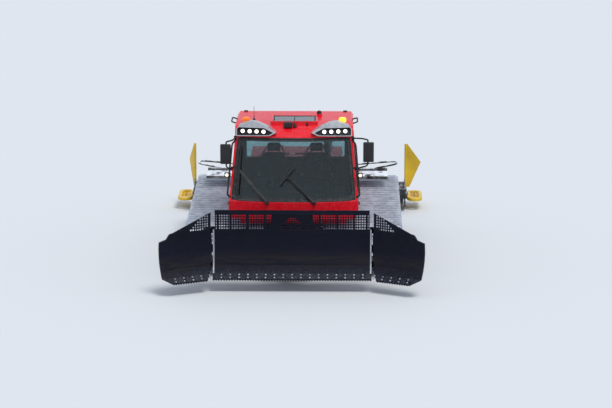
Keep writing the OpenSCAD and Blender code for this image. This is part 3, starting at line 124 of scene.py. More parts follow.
def addLight():
    scene.view_settings.view_transform = "Standard"
    world = bpy.data.worlds.new("softSky")
    world.use_nodes = True
    scene.world = world
    back = world.node_tree.nodes["Background"]
    back.inputs["Color"].default_value = (*lighting["sky"], 1)
    back.inputs["Strength"].default_value = lighting["skyStrength"]
    data = bpy.data.lights.new("softSun", "SUN")
    data.energy = lighting["sunStrength"]
    data.color = lighting["sun"]
    data.angle = math.radians(lighting["sunAngle"])
    sun = bpy.data.objects.new("softSun", data)
    sun.rotation_euler = [math.radians(t) for t in lighting["sunTurn"]]
    scene.collection.objects.link(sun)


def addFloor():
    bm = bmesh.new()
    bmesh.ops.create_grid(bm, x_segments=1, y_segments=1, size=lighting["floorSize"] / 2)
    mesh = bpy.data.meshes.new("floor")
    bm.to_mesh(mesh)
    bm.free()
    floor = bpy.data.objects.new("floor", mesh)
    scene.collection.objects.link(floor)
    look = {"Base Color": (*lighting["floor"], 1), "Roughness": 0.9, "Specular IOR Level": 0.1}
    mesh.materials.append(newMaterial("paleFloor", **look)[0])


addCamera()
addLight()
addFloor()
print("camera, light and floor")


# shader groups
def newGroup(name, inputs, outputs):
    tree = bpy.data.node_groups.new(name, "ShaderNodeTree")
    for label, value in inputs:
        kind = "NodeSocketColor" if isinstance(value, tuple) else "NodeSocketFloat"
        socket = tree.interface.new_socket(name=label, in_out="INPUT", socket_type=kind)
        socket.default_value = value
    for label, kind in outputs:
        tree.interface.new_socket(name=label, in_out="OUTPUT", socket_type="NodeSocket" + kind)
    return tree, tree.nodes.new("NodeGroupInput"), tree.nodes.new("NodeGroupOutput")


def link(tree, source, target):
    # a node's output, a number or a colour into a socket
    if isinstance(source, (int, float)):
        target.default_value = source
    elif isinstance(source, tuple):
        target.default_value = (*source, 1)
    else:
        tree.links.new(source, target)


def mathNode(tree, operation, a, b):
    node = tree.nodes.new("ShaderNodeMath")
    node.operation = operation
    link(tree, a, node.inputs[0])
    link(tree, b, node.inputs[1])
    return node.outputs[0]


def multiplied(tree, *factors):
    # the product of some values, held between 0 and 1 at the end
    product = factors[0]
    for factor in factors[1:]:
        product = mathNode(tree, "MULTIPLY", product, factor)
    product.node.use_clamp = True
    return product


def heightOf(tree, vector):
    node = tree.nodes.new("ShaderNodeSeparateXYZ")
    link(tree, vector, node.inputs[0])
    return node.outputs["Z"]


def noiseNode(tree, vector, scale, detail=4, rough=0.55, stretch=None):
    if stretch is not None:
        mapping = tree.nodes.new("ShaderNodeMapping")
        mapping.inputs["Scale"].default_value = stretch
        link(tree, vector, mapping.inputs["Vector"])
        vector = mapping.outputs[0]
    node = tree.nodes.new("ShaderNodeTexNoise")
    for label, value in (("Vector", vector), ("Scale", scale), ("Detail", detail), ("Roughness", rough)):
        link(tree, value, node.inputs[label])
    return node.outputs["Fac"]


def rangeNode(tree, value, fromLow, fromHigh, toLow=0.0, toHigh=1.0):
    node = tree.nodes.new("ShaderNodeMapRange")
    node.interpolation_type = "SMOOTHSTEP"
    bounds = {"From Min": fromLow, "From Max": fromHigh, "To Min": toLow, "To Max": toHigh}
    for label, source in (("Value", value), *bounds.items()):
        link(tree, source, node.inputs[label])
    return node.outputs["Result"]


def objectPoint(tree):
    return tree.nodes.new("ShaderNodeTexCoord").outputs["Object"]


def makeEdgeWearAndShade():
    # worn edges, and on the yellow plates painted shade: where a bevelled normal leaves the true one, broken up by
    # noise
    tree, source, sink = newGroup("edgeWearAndShade", [("Width", 0.006), ("Amount", 0.6)], [("Mask", "Float")])
    bevel = tree.nodes.new("ShaderNodeBevel")
    bevel.samples = 4
    link(tree, source.outputs["Width"], bevel.inputs["Radius"])
    plain = tree.nodes.new("ShaderNodeNewGeometry")
    dot = tree.nodes.new("ShaderNodeVectorMath")
    dot.operation = "DOT_PRODUCT"
    link(tree, bevel.outputs[0], dot.inputs[0])
    link(tree, plain.outputs["Normal"], dot.inputs[1])
    edge = rangeNode(tree, dot.outputs["Value"], 0.96, 0.80)
    broken = rangeNode(tree, noiseNode(tree, objectPoint(tree), 22, 5, 0.7), 0.42, 0.6)
    link(tree, multiplied(tree, edge, broken, source.outputs["Amount"]), sink.inputs["Mask"])
    return tree


def makeMottle():
    # slow change of tone over a surface
    inputs = [("Scale", 3.0), ("Low", 0.0), ("High", 1.0)]
    tree, source, sink = newGroup("mottle", inputs, [("Value", "Float")])
    wide = noiseNode(tree, objectPoint(tree), source.outputs["Scale"], 6, 0.6)
    tone = rangeNode(tree, wide, 0.3, 0.7, source.outputs["Low"], source.outputs["High"])
    link(tree, tone, sink.inputs["Value"])
    return tree


def makeFrost():
    # frost on faces that look up, and more of it low down
    inputs = [("Amount", 0.5), ("Top", 1.2), ("Grain", 18.0)]
    tree, source, sink = newGroup("frost", inputs, [("Mask", "Float")])
    coord = tree.nodes.new("ShaderNodeTexCoord")
    up = rangeNode(tree, heightOf(tree, coord.outputs["Normal"]), 0.15, 0.9, 0.12, 1.0)
    low = rangeNode(tree, heightOf(tree, coord.outputs["Object"]), source.outputs["Top"], 0.0, 0.15, 1.0)
    noise = noiseNode(tree, coord.outputs["Object"], source.outputs["Grain"], 8, 0.7)
    grain = rangeNode(tree, noise, 0.40, 0.62)
    link(tree, multiplied(tree, up, low, grain, source.outputs["Amount"]), sink.inputs["Mask"])
    return tree


def makeGrain():
    # fine height for bump: orange peel, cast or moulded skin
    tree, source, sink = newGroup("grain", [("Scale", 200.0)], [("Height", "Float")])
    link(tree, noiseNode(tree, objectPoint(tree), source.outputs["Scale"], 3, 0.6), sink.inputs["Height"])
    return tree


def makeScratchesAndShade():
    # long scuffs along the machine's width, and on the yellow plates streaks of painted shade
    tree, source, sink = newGroup("scratchesAndShade", [("Scale", 14.0), ("Amount", 0.5)], [("Mask", "Float")])
    lines = noiseNode(tree, objectPoint(tree), source.outputs["Scale"], 6, 0.75, (0.06, 1.0, 1.0))
    thin = rangeNode(tree, lines, 0.56, 0.70)
    link(tree, multiplied(tree, thin, source.outputs["Amount"]), sink.inputs["Mask"])
    return tree


groups = {
    "edgeWearAndShade": makeEdgeWearAndShade(),
    "mottle": makeMottle(),
    "frost": makeFrost(),
    "grain": makeGrain(),
    "scratchesAndShade": makeScratchesAndShade(),
}


# materials
def useGroup(tree, name, **values):
    node = tree.nodes.new("ShaderNodeGroup")
    node.node_tree = groups[name]
    for label, value in values.items():
        node.inputs[label.capitalize()].default_value = value
    return node.outputs[0]


def blendColour(tree, mask, a, b):
    node = tree.nodes.new("ShaderNodeMix")
    node.data_type = "RGBA"
    link(tree, mask, node.inputs["Factor"])
    link(tree, a, node.inputs[6])
    link(tree, b, node.inputs[7])
    return node.outputs[2]


def finish(name, colour, tone=0.25, toneScale=2.5, rough=(0.3, 0.45), wear=None, frost=None, scratch=None,
           grain=(200, 0.15), **plain):
    # one finish: tone change, scuffs, worn edges and frost over a base colour; on the yellow plates the edge and
    # scuff marks are painted shade
    material, tree, shader = newMaterial(name, **plain)
    darker = tuple(c * (1 - tone) for c in colour)
    colourOut = blendColour(tree, useGroup(tree, "mottle", scale=toneScale), darker, colour)
    roughOut = useGroup(tree, "mottle", scale=toneScale * 4, low=rough[0], high=rough[1])
    if scratch is not None:
        mask = useGroup(tree, "scratchesAndShade", scale=scratch[1], amount=scratch[2])
        colourOut = blendColour(tree, mask, colourOut, scratch[0])
    if wear is not None:
        mask = useGroup(tree, "edgeWearAndShade", width=wear[1], amount=wear[2])
        colourOut = blendColour(tree, mask, colourOut, wear[0])
    if frost is not None:
        mask = useGroup(tree, "frost", amount=frost[0], top=frost[1], grain=frost[2])
        colourOut = blendColour(tree, mask, colourOut, (0.78, 0.83, 0.90))
        roughOut = mathNode(tree, "MAXIMUM", roughOut, mathNode(tree, "MULTIPLY", mask, 0.9))
    link(tree, colourOut, shader.inputs["Base Color"])
    link(tree, roughOut, shader.inputs["Roughness"])
    bump = tree.nodes.new("ShaderNodeBump")
    bump.inputs["Distance"].default_value = 0.001
    bump.inputs["Strength"].default_value = grain[1]
    link(tree, useGroup(tree, "grain", scale=grain[0]), bump.inputs["Height"])
    link(tree, bump.outputs[0], shader.inputs["Normal"])
    return material


# edge marks, wear and on the yellow plates painted shade: colour, width, amount; frost: amount, height it ends at,
# grain;
# streaks, scratches and on the yellow plates painted shade: colour, scale, amount; grain: scale, strength
bareSteel = (0.32, 0.31, 0.30)
blackMoulded = {"colour": (0.012, 0.012, 0.014), "tone": 0.3, "toneScale": 6, "grain": (600, 0.3)}
finishes = {
    "redPaint": {"colour": (0.80, 0.006, 0.018), "tone": 0.05, "toneScale": 1.2, "rough": (0.24, 0.32),
                 "wear": (bareSteel, 0.003, 0.2), "frost": (0.16, 3.2, 12.0), "grain": (350, 0.04),
                 "Coat Weight": 0.15, "Coat Roughness": 0.15, "Specular IOR Level": 0.22},
    "bladePaint": {"colour": (0.0040, 0.0058, 0.0165), "tone": 0.3, "toneScale": 1.6, "rough": (0.42, 0.58),
                   "wear": ((0.06, 0.06, 0.07), 0.006, 0.4), "frost": (0.10, 0.6, 26.0),
                   "scratch": ((0.020, 0.021, 0.030), 16, 0.6), "grain": (160, 0.2), "Specular IOR Level": 0.14},
    "frameGrey": {"colour": (0.022, 0.024, 0.028), "tone": 0.4, "toneScale": 5, "rough": (0.4, 0.6),
                  "wear": (bareSteel, 0.006, 0.6), "frost": (0.55, 1.3, 16.0)},
    "blackPlastic": {**blackMoulded, "rough": (0.42, 0.6)},
    "frostedPlastic": {**blackMoulded, "rough": (0.45, 0.6), "frost": (3.0, 6.0, 3.0)},
    # a pale strip for the blade's split edge: its pale colour is a painted highlight, its frost is snow
    "frostAndPaintedHighlight": {"colour": (0.46, 0.48, 0.52), "tone": 0.35, "toneScale": 14, "rough": (0.35, 0.5),
                 "frost": (1.0, 2.0, 30.0), "Metallic": 0.5},
    "rubber": {"colour": (0.016, 0.016, 0.018), "tone": 0.3, "toneScale": 6, "rough": (0.6, 0.8),
               "frost": (0.6, 1.2, 20.0), "grain": (300, 0.4)},
    "trackRubber": {"colour": (0.030, 0.031, 0.034), "tone": 0.3, "toneScale": 6, "rough": (0.6, 0.8),
                    "frost": (2.0, 3.2, 8.0), "grain": (300, 0.4)},
    "alloy": {"colour": (0.56, 0.60, 0.68), "tone": 0.3, "toneScale": 5, "rough": (0.4, 0.6),
              "frost": (1.3, 3.0, 10.0), "scratch": ((0.70, 0.73, 0.78), 30, 0.5), "Metallic": 0.45},
    "chromeRod": {"colour": (0.62, 0.63, 0.65), "tone": 0.1, "toneScale": 3, "rough": (0.08, 0.16),
                  "grain": (900, 0.03), "Metallic": 1.0},
    "wornSteel": {"colour": (0.28, 0.28, 0.29), "tone": 0.4, "toneScale": 6, "rough": (0.35, 0.6),
                  "frost": (0.8, 1.0, 22.0), "scratch": ((0.5, 0.5, 0.5), 25, 0.5), "Metallic": 0.85},
    # the brown at the yellow plates' edges and in long streaks is painted shade
    "yellowPaint": {"colour": (0.86, 0.55, 0.012), "tone": 0.3, "toneScale": 2.2, "rough": (0.35, 0.5),
                    "wear": ((0.20, 0.10, 0.02), 0.010, 0.7), "frost": (0.35, 1.6, 12.0),
                    "scratch": ((0.45, 0.22, 0.02), 9, 0.45)},
    "silverPaint": {"colour": (0.50, 0.51, 0.54), "tone": 0.2, "toneScale": 3, "rough": (0.22, 0.34),
                    "Metallic": 0.4, "Coat Weight": 0.5, "Coat Roughness": 0.08},
    "seatCloth": {"colour": (0.030, 0.032, 0.038), "tone": 0.35, "toneScale": 9, "rough": (0.75, 0.9),
                  "grain": (900, 0.6)},
    "dashPlastic": {"colour": (0.020, 0.021, 0.023), "tone": 0.3, "toneScale": 5, "rough": (0.5, 0.7),
                    "grain": (800, 0.5)},
    "lining": {"colour": (0.035, 0.036, 0.040), "tone": 0.3, "toneScale": 3, "rough": (0.7, 0.85),
               "grain": (500, 0.5)},
    "engineGrey": {"colour": (0.05, 0.05, 0.052), "tone": 0.5, "toneScale": 8, "rough": (0.5, 0.7),
                   "wear": (bareSteel, 0.006, 0.5)},
    "mirrorGlass": {"colour": (0.75, 0.78, 0.80), "tone": 0.05, "toneScale": 2, "rough": (0.02, 0.05),
                    "grain": (900, 0.01), "Metallic": 1.0},
}
glows = {  # colour and strength of each lit lens
    "lampLit": ((1.0, 0.97, 0.88), 3.0), "lampWarm": ((1.0, 0.86, 0.55), 1.6),
    "lampRed": ((0.55, 0.012, 0.010), 0.15), "amber": ((0.90, 0.22, 0.01), 0.35),
    "amberLit": ((1.0, 0.50, 0.04), 1.5),
}
glass = {"tint": (0.42, 0.58, 0.60), "rough": (0.02, 0.06), "Transmission Weight": 1.0, "IOR": 1.5}


def addWornBand(material):
    # a brown band low on the blade, where the paint wears
    tree = material.node_tree
    target = tree.nodes["Principled BSDF"].inputs["Base Color"]
    painted = target.links[0].from_socket
    point = objectPoint(tree)
    height = heightOf(tree, point)
    rise, fall = rangeNode(tree, height, 0.34, 0.52), rangeNode(tree, height, 0.80, 0.60)
    patchy = rangeNode(tree, noiseNode(tree, point, 5, 6, 0.7, (0.25, 1, 3)), 0.38, 0.62, 0.10, 0.6)
    mask = multiplied(tree, rise, fall, patchy)
    link(tree, blendColour(tree, mask, painted, (0.022, 0.017, 0.016)), target)


def makeGlass(name, tint, rough, **plain):
    material, tree, shader = newMaterial(name, **plain)
    film = useGroup(tree, "mottle", scale=2.0)
    link(tree, blendColour(tree, film, tuple(c * 0.9 for c in tint), tint), shader.inputs["Base Color"])
    link(tree, useGroup(tree, "mottle", scale=7.0, low=rough[0], high=rough[1]), shader.inputs["Roughness"])
    return material


def makeGlow(name, colour, strength):
    # a lit lens, brightest at the bulb's ripples
    material, tree, shader = newMaterial(name, **{"Roughness": 0.15, "Emission Strength": strength})
    ripple = useGroup(tree, "mottle", scale=60.0)
    colourOut = blendColour(tree, ripple, tuple(c * 0.75 for c in colour), colour)
    link(tree, colourOut, shader.inputs["Base Color"])
    link(tree, colourOut, shader.inputs["Emission Color"])
    return material


materials = {name: finish(name, **values) for name, values in finishes.items()}
materials.update({name: makeGlow(name, *values) for name, values in glows.items()})
materials["tintedGlass"] = makeGlass("tintedGlass", **glass)
addWornBand(materials["bladePaint"])

nodeFinish = {
    "redPaint": ["cab_shell", "cab_roof", "door_left", "door_right", "engine_housing"],
    "bladePaint": ["blade_center", "blade_guard", "blade_wing_left", "blade_wing_right"],
    "frameGrey": ["chassis_tub", "axle_arms", "push_frame", "swing_knuckle", "blade_carrier",
                  "blade_lift_barrels", "load_platform", "rear_lift_frame", "rear_lift_barrels", "tiller_swivel",
                  "tiller_housing"],
    "chromeRod": ["blade_lift_rods", "swing_rods_left", "swing_rods_right", "wing_rod_left", "wing_rod_right",
                  "rear_lift_rods"],
    "tintedGlass": ["cab_glass", "door_glass_left", "door_glass_right"],
    "silverPaint": ["headlamp_pods"],
    "blackPlastic": ["roof_fittings", "mirrors", "wipers", "grab_rails", "work_lamps", "fenders", "steering_yoke",
                     "headlamps", "rear_lamps", "deck_rails"],
    "rubber": ["load_wheels", "tiller_comb"],
    "alloy": ["track_left", "track_right"],
    "wornSteel": ["tiller_rotor", "sprockets", "exhaust_stack"],
    "yellowPaint": ["tiller_skids", "side_plate_left", "side_plate_right"],
    "seatCloth": ["seats"],
    "dashPlastic": ["dashboard"],
    "engineGrey": ["engine_block"],
    "amber": ["beacons"],
}
for materialName, members in nodeFinish.items():
    for member in members:
        slots = nodes[member].data.materials
        slots.clear()
        slots.append(materials[materialName])
print("materials on", len(nodes), "nodes")


# shared modelling steps
def vertsOf(geometry):
    return [g for g in geometry if isinstance(g, bmesh.types.BMVert)]


def edgesOf(geometry):
    return [g for g in geometry if isinstance(g, bmesh.types.BMEdge)]


def facesOf(geometry):
    return [g for g in geometry if isinstance(g, bmesh.types.BMFace)]


def addPiece(name, bm, finishes, body="chassis", sharp=32, outward=True):
    bmesh.ops.remove_doubles(bm, verts=bm.verts[:], dist=0.00005)
    if outward:
        bmesh.ops.recalc_face_normals(bm, faces=bm.faces[:])
    mesh = bpy.data.meshes.new(name)
    bm.to_mesh(mesh)
    bm.free()
    for label in finishes:
        mesh.materials.append(materials[label])
    mesh.polygons.foreach_set("use_smooth", [True] * len(mesh.polygons))
    mesh.set_sharp_from_angle(angle=math.radians(sharp))
    piece = bpy.data.objects.new(name, mesh)
    scene.collection.objects.link(piece)
    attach(piece, body)
    return piece


def addBlock(bm, low, high, edge=0.0, steps=2, turn=None, finishIndex=0):
    # a block between two corners with rounded edges
    low, high = Vector(low), Vector(high)
    size, middle = high - low, (high + low) / 2
    place = Matrix.Translation(middle) @ (turn or Matrix.Identity(4)) @ Matrix.Diagonal((*size, 1))
    made = bmesh.ops.create_cube(bm, size=1, matrix=place)["verts"]
    faces = {f for v in made for f in v.link_faces}
    if edge > 0:
        edges = list({e for v in made for e in v.link_edges})
        cut = bmesh.ops.bevel(bm, geom=edges, offset=edge, segments=steps, profile=0.5, affect="EDGES",
                              material=-1)
        faces = {f for v in cut["verts"] for f in v.link_faces} | set(cut["faces"])
    for face in faces:
        face.material_index = finishIndex


def blockAround(bm, middle, low, high, edge=0.0, steps=2, turn=None, finishIndex=0):
    # a block whose corners are given from its middle
    addBlock(bm, middle + Vector(low), middle + Vector(high), edge, steps, turn, finishIndex)


def slab(bm, a, b, edge=0.0, finishIndex=0):
    # a block between two corners given in any order
    addBlock(bm, [min(p) for p in zip(a, b)], [max(p) for p in zip(a, b)], edge, finishIndex=finishIndex)


def addTurned(bm, profile, place, steps=24, finishIndex=0):
    # a profile of (radius, height) spun round its z axis, then put in place
    rows = [bm.verts.new((r, 0, z)) for r, z in profile]
    edges = [bm.edges.new(pair) for pair in zip(rows, rows[1:])]
    bmesh.ops.spin(bm, geom=rows + edges, cent=(0, 0, 0), axis=(0, 0, 1), angle=2 * math.pi, steps=steps,
                   use_merge=True)
    verts, fresh = set(rows), [rows[0]]
    while fresh:
        fresh = {e.other_vert(v) for v in fresh for e in v.link_edges} - verts
        verts |= fresh
    verts = [v for v in verts if v.is_valid]
    bmesh.ops.remove_doubles(bm, verts=verts, dist=0.00002)
    verts = [v for v in verts if v.is_valid]
    bmesh.ops.transform(bm, matrix=place, verts=verts)
    for face in {f for v in verts for f in v.link_faces}:
        face.material_index = finishIndex


def sweep(bm, section, frames, closed=False, finishIndex=0):
    # a flat section of (x, y) carried along frames by extrusion
    rows = [bm.verts.new(frames[0] @ Vector((p[0], p[1], 0))) for p in section]
    edges = [bm.edges.new((rows[i], rows[(i + 1) % len(rows)])) for i in range(len(rows))]
    caps = list(edges)
    before = set(bm.faces)
    for a, b in zip(frames, frames[1:]):
        made = bmesh.ops.extrude_edge_only(bm, edges=edges)["geom"]
        ring = set(vertsOf(made))
        bmesh.ops.transform(bm, matrix=b @ a.inverted(), verts=list(ring))
        edges = [e for e in edgesOf(made) if e.verts[0] in ring and e.verts[1] in ring]
    if not closed:
        bmesh.ops.edgenet_fill(bm, edges=caps)
        bmesh.ops.edgenet_fill(bm, edges=edges)
    for face in set(bm.faces) - before:
        face.material_index = finishIndex


def circleSection(radius, count=12):
    turns = [2 * math.pi * k / count for k in range(count)]
    return [(radius * math.cos(t), radius * math.sin(t)) for t in turns]


def cornerCurve(start, corner, end, steps=6):
    turns = [k / steps for k in range(steps + 1)]
    return [start * (1 - t) ** 2 + corner * 2 * t * (1 - t) + end * t ** 2 for t in turns]


def roundedPath(points, radius):
    # the corners of a path rounded off
    points = [Vector(p) for p in points]
    path = [points[0]]
    for before, corner, after in zip(points, points[1:], points[2:]):
        a, b = before - corner, after - corner
        reach = min(radius, a.length * 0.45, b.length * 0.45)
        path += cornerCurve(corner + a.normalized() * reach, corner, corner + b.normalized() * reach)
    return path + [points[-1]]


def framesAlong(path, closed=False):
    # a turning-free frame at each point of a path
    frames, side, last = [], None, len(path) - 1
    for i, point in enumerate(path):
        ahead = path[(i + 1) % len(path)] if closed else path[min(i + 1, last)]
        behind = path[i - 1] if closed or i > 0 else path[0]
        along = (ahead - behind).normalized()
        if side is None:
            side = along.orthogonal().normalized()
        side = (side - along * side.dot(along)).normalized()
        frames.append(Matrix.Translation(point) @ turnedTo(side, along.cross(side), along))
    return frames


def addTube(bm, points, radius, bend=0.05, count=12, finishIndex=0):
    frames = framesAlong(roundedPath(points, bend))
    sweep(bm, circleSection(radius, count), frames, finishIndex=finishIndex)


def addRing(bm, path, radius):
    # a closed tube on a loop of points
    frames = framesAlong(path, True)
    sweep(bm, circleSection(radius, 8), frames + frames[:1], closed=True)


def facing(centre, axis):
    # a frame at a point whose z axis looks along an axis
    return Matrix.Translation(centre) @ Vector(axis).normalized().to_track_quat("Z", "Y").to_matrix().to_4x4()


def addBolt(bm, centre, axis, across=0.03, height=0.012, finishIndex=0):
    # a hexagon head on a washer
    place = facing(centre, axis)
    for radius, depth, steps in ((across * 0.75, height * 0.25, 12), (across / 2, height, 6)):
        raised = place @ Matrix.Translation((0, 0, depth / 2))
        made = bmesh.ops.create_cone(bm, cap_ends=True, segments=steps, radius1=radius, radius2=radius * 0.94,
                                     depth=depth, matrix=raised)
        for face in {f for v in made["verts"] for f in v.link_faces}:
            face.material_index = finishIndex


# the cab's outer form, as in its solids
cabForm = {
    "half": 1250, "topHalf": 1135, "floor": 1140, "sill": 1480, "screenTop": 2660, "footY": -2440, "topY": -1900,
    "bow": 4300, "roof": 2890, "rear": -280, "wall": 50, "roofFront": (-1570, 2825), "roofRise": 0.111,
    "middle": (0, -1150, 1900),
}
rake = math.atan2(cabForm["topY"] - cabForm["footY"], cabForm["screenTop"] - cabForm["sill"])
shoulderZ = cabForm["floor"] + 180
sideLean = math.atan2(cabForm["half"] - cabForm["topHalf"], cabForm["screenTop"] - shoulderZ)


def halfAt(z):
    return cabForm["half"] - (z - shoulderZ) * math.tan(sideLean)


def screenY(x, z, inset=0.0):
    # the bowed and raked windscreen's surface
    big = cabForm["bow"] / math.cos(rake)
    raked = cabForm["footY"] + (z - cabForm["sill"]) * math.tan(rake)
    raked += (big - math.sqrt((big - inset) ** 2 - x * x)) / math.cos(rake)
    upright = cabForm["footY"] + cabForm["bow"] - math.sqrt((cabForm["bow"] - inset) ** 2 - x * x)
    return max(raked, upright)


def onScreen(x, z, inset=0.0):
    return mm(x, screenY(x, z, inset), z)


# dark lining on the inside of the cab's walls
def insideCab(point):
    # whether a point of the cab's solids lies on the inner side of its walls
    deep = cabForm["wall"] - 4
    x, y, z = abs(point.x) * 1000, (point.y - shiftY) * 1000, point.z * 1000
    front, height = cabForm["roofFront"]
    ceiling = min(height + (y - front) * cabForm["roofRise"], cabForm["roof"]) - deep
    return (x < halfAt(z) - deep and screenY(min(x, 1200), z) + deep * 0.9 < y < cabForm["rear"] - deep
            and cabForm["floor"] + deep < z < ceiling)


def addLining(nodeName, thick=0.0012, lift=0.0015):
    bm = bmesh.new()
    bm.from_mesh(nodes[nodeName].data)
    bmesh.ops.remove_doubles(bm, verts=bm.verts[:], dist=0.0001)
    drop = []
    for face in bm.faces:
        c = face.calc_center_median()
        if not insideCab(c) or (mm(*cabForm["middle"]) - c).dot(face.normal) < 0 or face.calc_area() < 1e-8:
            drop.append(face)
    bmesh.ops.delete(bm, geom=drop, context="FACES")
    for vert in bm.verts:
        vert.co += vert.normal * lift
    bmesh.ops.solidify(bm, geom=bm.faces[:], thickness=-thick)
    addPiece(nodeName + "_lining", bm, ["lining"], nodes[nodeName]["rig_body"], outward=False)


for nodeName in ("cab_shell", "cab_roof", "door_left", "door_right"):
    addLining(nodeName)
print("cab lining")


# tracks: rubber belts with aluminium crossbars
track = {
    "circles": [(-2060, 555, 350), (-1360, 405, 320), (1360, 405, 320), (2040, 690, 350)],
    "belts": [(560, 870), (1020, 1640), (1790, 2100)],
    "beltThick": 20,
    "bars": 57,
    "barSection": [(-32, 0), (32, 0), (31, 7), (14, 13), (11, 58), (8, 64), (-8, 64), (-11, 58), (-14, 13),
                   (-31, 7)],
    "barEnds": [(561, 0.45), (590, 0.9), (620, 1.0), (2040, 1.0), (2070, 0.9), (2099, 0.45)],
}


def loopParts(out):
    # arcs and runs round the wheels, at a distance outside them
    circles = track["circles"]
    gaps = [(b[0] - a[0], b[1] - a[1], a[2] - b[2]) for a, b in zip(circles, circles[1:] + circles[:1])]
    leans = [math.asin(g[2] / math.hypot(g[0], g[1])) for g in gaps]
    angles = [math.atan2(g[1], g[0]) - math.pi / 2 + l for g, l in zip(gaps, leans)]
    parts = []
    for i, circle in enumerate(circles):
        turn = (angles[i] - angles[i - 1]) % (2 * math.pi)
        run = math.hypot(gaps[i][0], gaps[i][1]) * math.cos(leans[i])
        parts.append((circle, circle[2] + out, angles[i - 1], turn, run))
    return parts


def loopFrames(out, count, offset=0.5):
    # frames with x across the machine, y outwards and z along the travel
    parts = loopParts(out)
    whole = sum(radius * turn + run for _, radius, _, turn, run in parts)
    frames = []
    for k in range(count):
        s = (k + offset) / count * whole
        for circle, radius, start, turn, run in parts:
            arc = radius * turn
            if s < arc + run:
                angle = start + min(s, arc) / radius
                past = max(0.0, s - arc)
                out = Vector((0, math.cos(angle), math.sin(angle)))
                along = Vector((0, -math.sin(angle), math.cos(angle)))
                centre = mm(0, *circle[:2]) + (out * radius + along * past) / 1000
                frames.append(Matrix.Translation(centre) @ turnedTo(Vector((1, 0, 0)), out, along))
                break
            s -= arc + run
    return frames


def addBelts(name, side):
    bm = bmesh.new()
    thick = track["beltThick"] / 1000
    frames = loopFrames(0.6, track["bars"] * 4, 0)
    for low, high in track["belts"]:
        a, b = sorted((side * low / 1000, side * high / 1000))
        section = [(a, 0.002), (a + 0.004, 0), (b - 0.004, 0), (b, 0.002), (b, thick - 0.005),
                   (b - 0.006, thick - 0.001), (a + 0.006, thick - 0.001), (a, thick - 0.005)]
        sweep(bm, section, frames + frames[:1], closed=True)
    addPiece(name, bm, ["trackRubber"])


def addBars(name, side, nodeName):
    bm = bmesh.new()
    section = [(u / 1000, v / 1000) for u, v in track["barSection"]]
    upright = Matrix.Rotation(math.radians(90), 4, "Y")
    stations = [Matrix.Translation((side * x / 1000, 0, 0)) @ Matrix.Diagonal((1, high, 1, 1)) @ upright
                for x, high in track["barEnds"]]
    for place in loopFrames(track["beltThick"], track["bars"]):
        sweep(bm, section, [place @ station for station in stations])
    piece = addPiece(name, bm, ["alloy"])
    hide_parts(nodeName)


for label, side in (("Left", 1), ("Right", -1)):
    addBelts("trackBelts" + label, side)
    addBars("trackBars" + label, side, "track_" + label.lower())
print("tracks")


# seats: sewn cushions on the solids' places
seat = {
    "places": [-420, 420],
    "y": -1150,
    "floor": 1190,
    "cushion": [(-250, -270, 300), (250, 250, 430)],
    "back": [(-240, 130, 425), (240, 250, 1000)],
    "backLean": 12,
    "rest": [(-130, 262, 1010), (130, 362, 1185)],
    "crown": 0.016,
    "channels": 4,
    "groove": 0.008,
    "leanPivot": (0, 0.19, 0.43),
    "bellows": 6,
}


def puffed(bm, low, high, crown, cuts, channels, turn=None, pivot=None):
    # a block subdivided, rounded and crowned, with sewn channels across its face
    low, high = Vector(low) / 1000, Vector(high) / 1000
    size, middle = high - low, (low + high) / 2
    made = bmesh.ops.create_cube(bm, size=1)["verts"]
    edges = list({e for v in made for e in v.link_edges})
    cut = bmesh.ops.subdivide_edges(bm, edges=edges, cuts=cuts, use_grid_fill=True)
    verts = set(made) | set(vertsOf(cut["geom_inner"])) | set(vertsOf(cut["geom_split"]))
    verts = [v for v in verts if v.is_valid]
    thin = min(range(3), key=lambda k: size[k])
    rim = 0.35
    for vert in verts:
        unit = vert.co * 2
        inner = Vector([max(-1 + rim, min(1 - rim, c)) for c in unit])
        away = unit - inner
        if away.length > 1e-6:
            unit = inner + away.normalized() * rim * min(1.0, max(abs(c) for c in away) / rim)
        flat = [unit[k] for k in range(3) if k != thin]
        lift = (1 - flat[0] ** 2) * (1 - flat[1] ** 2)
        place = Vector([unit[k] * size[k] / 2 * 0.96 for k in range(3)])
        place[thin] += math.copysign(crown * lift, unit[thin]) * abs(unit[thin])
        if channels:
            groove = math.cos(unit[1 if thin != 1 else 2] * math.pi * channels) ** 16
            place[thin] -= math.copysign(seat["groove"] * groove * lift, unit[thin]) * abs(unit[thin])
        vert.co = place
    move = Matrix.Translation(middle)
    if turn is not None:
        move = Matrix.Translation(pivot) @ turn @ Matrix.Translation(middle - pivot)
    bmesh.ops.transform(bm, matrix=move, verts=verts)


def addSeatPads(index, foot):
    bm = bmesh.new()
    lean = Matrix.Rotation(math.radians(-seat["backLean"]), 4, "X")
    pivot = Vector(seat["leanPivot"])
    puffed(bm, *seat["cushion"], seat["crown"], 19, seat["channels"])
    puffed(bm, *seat["back"], seat["crown"], 19, seat["channels"], lean, pivot)
    puffed(bm, *seat["rest"], seat["crown"] * 0.6, 9, 0, lean, pivot)
    bmesh.ops.transform(bm, matrix=Matrix.Translation(foot), verts=bm.verts[:])
    piece = addPiece("seatPads" + str(index + 1), bm, ["seatCloth"], "chassis", 60)
    if index == 0:
        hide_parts("seats")


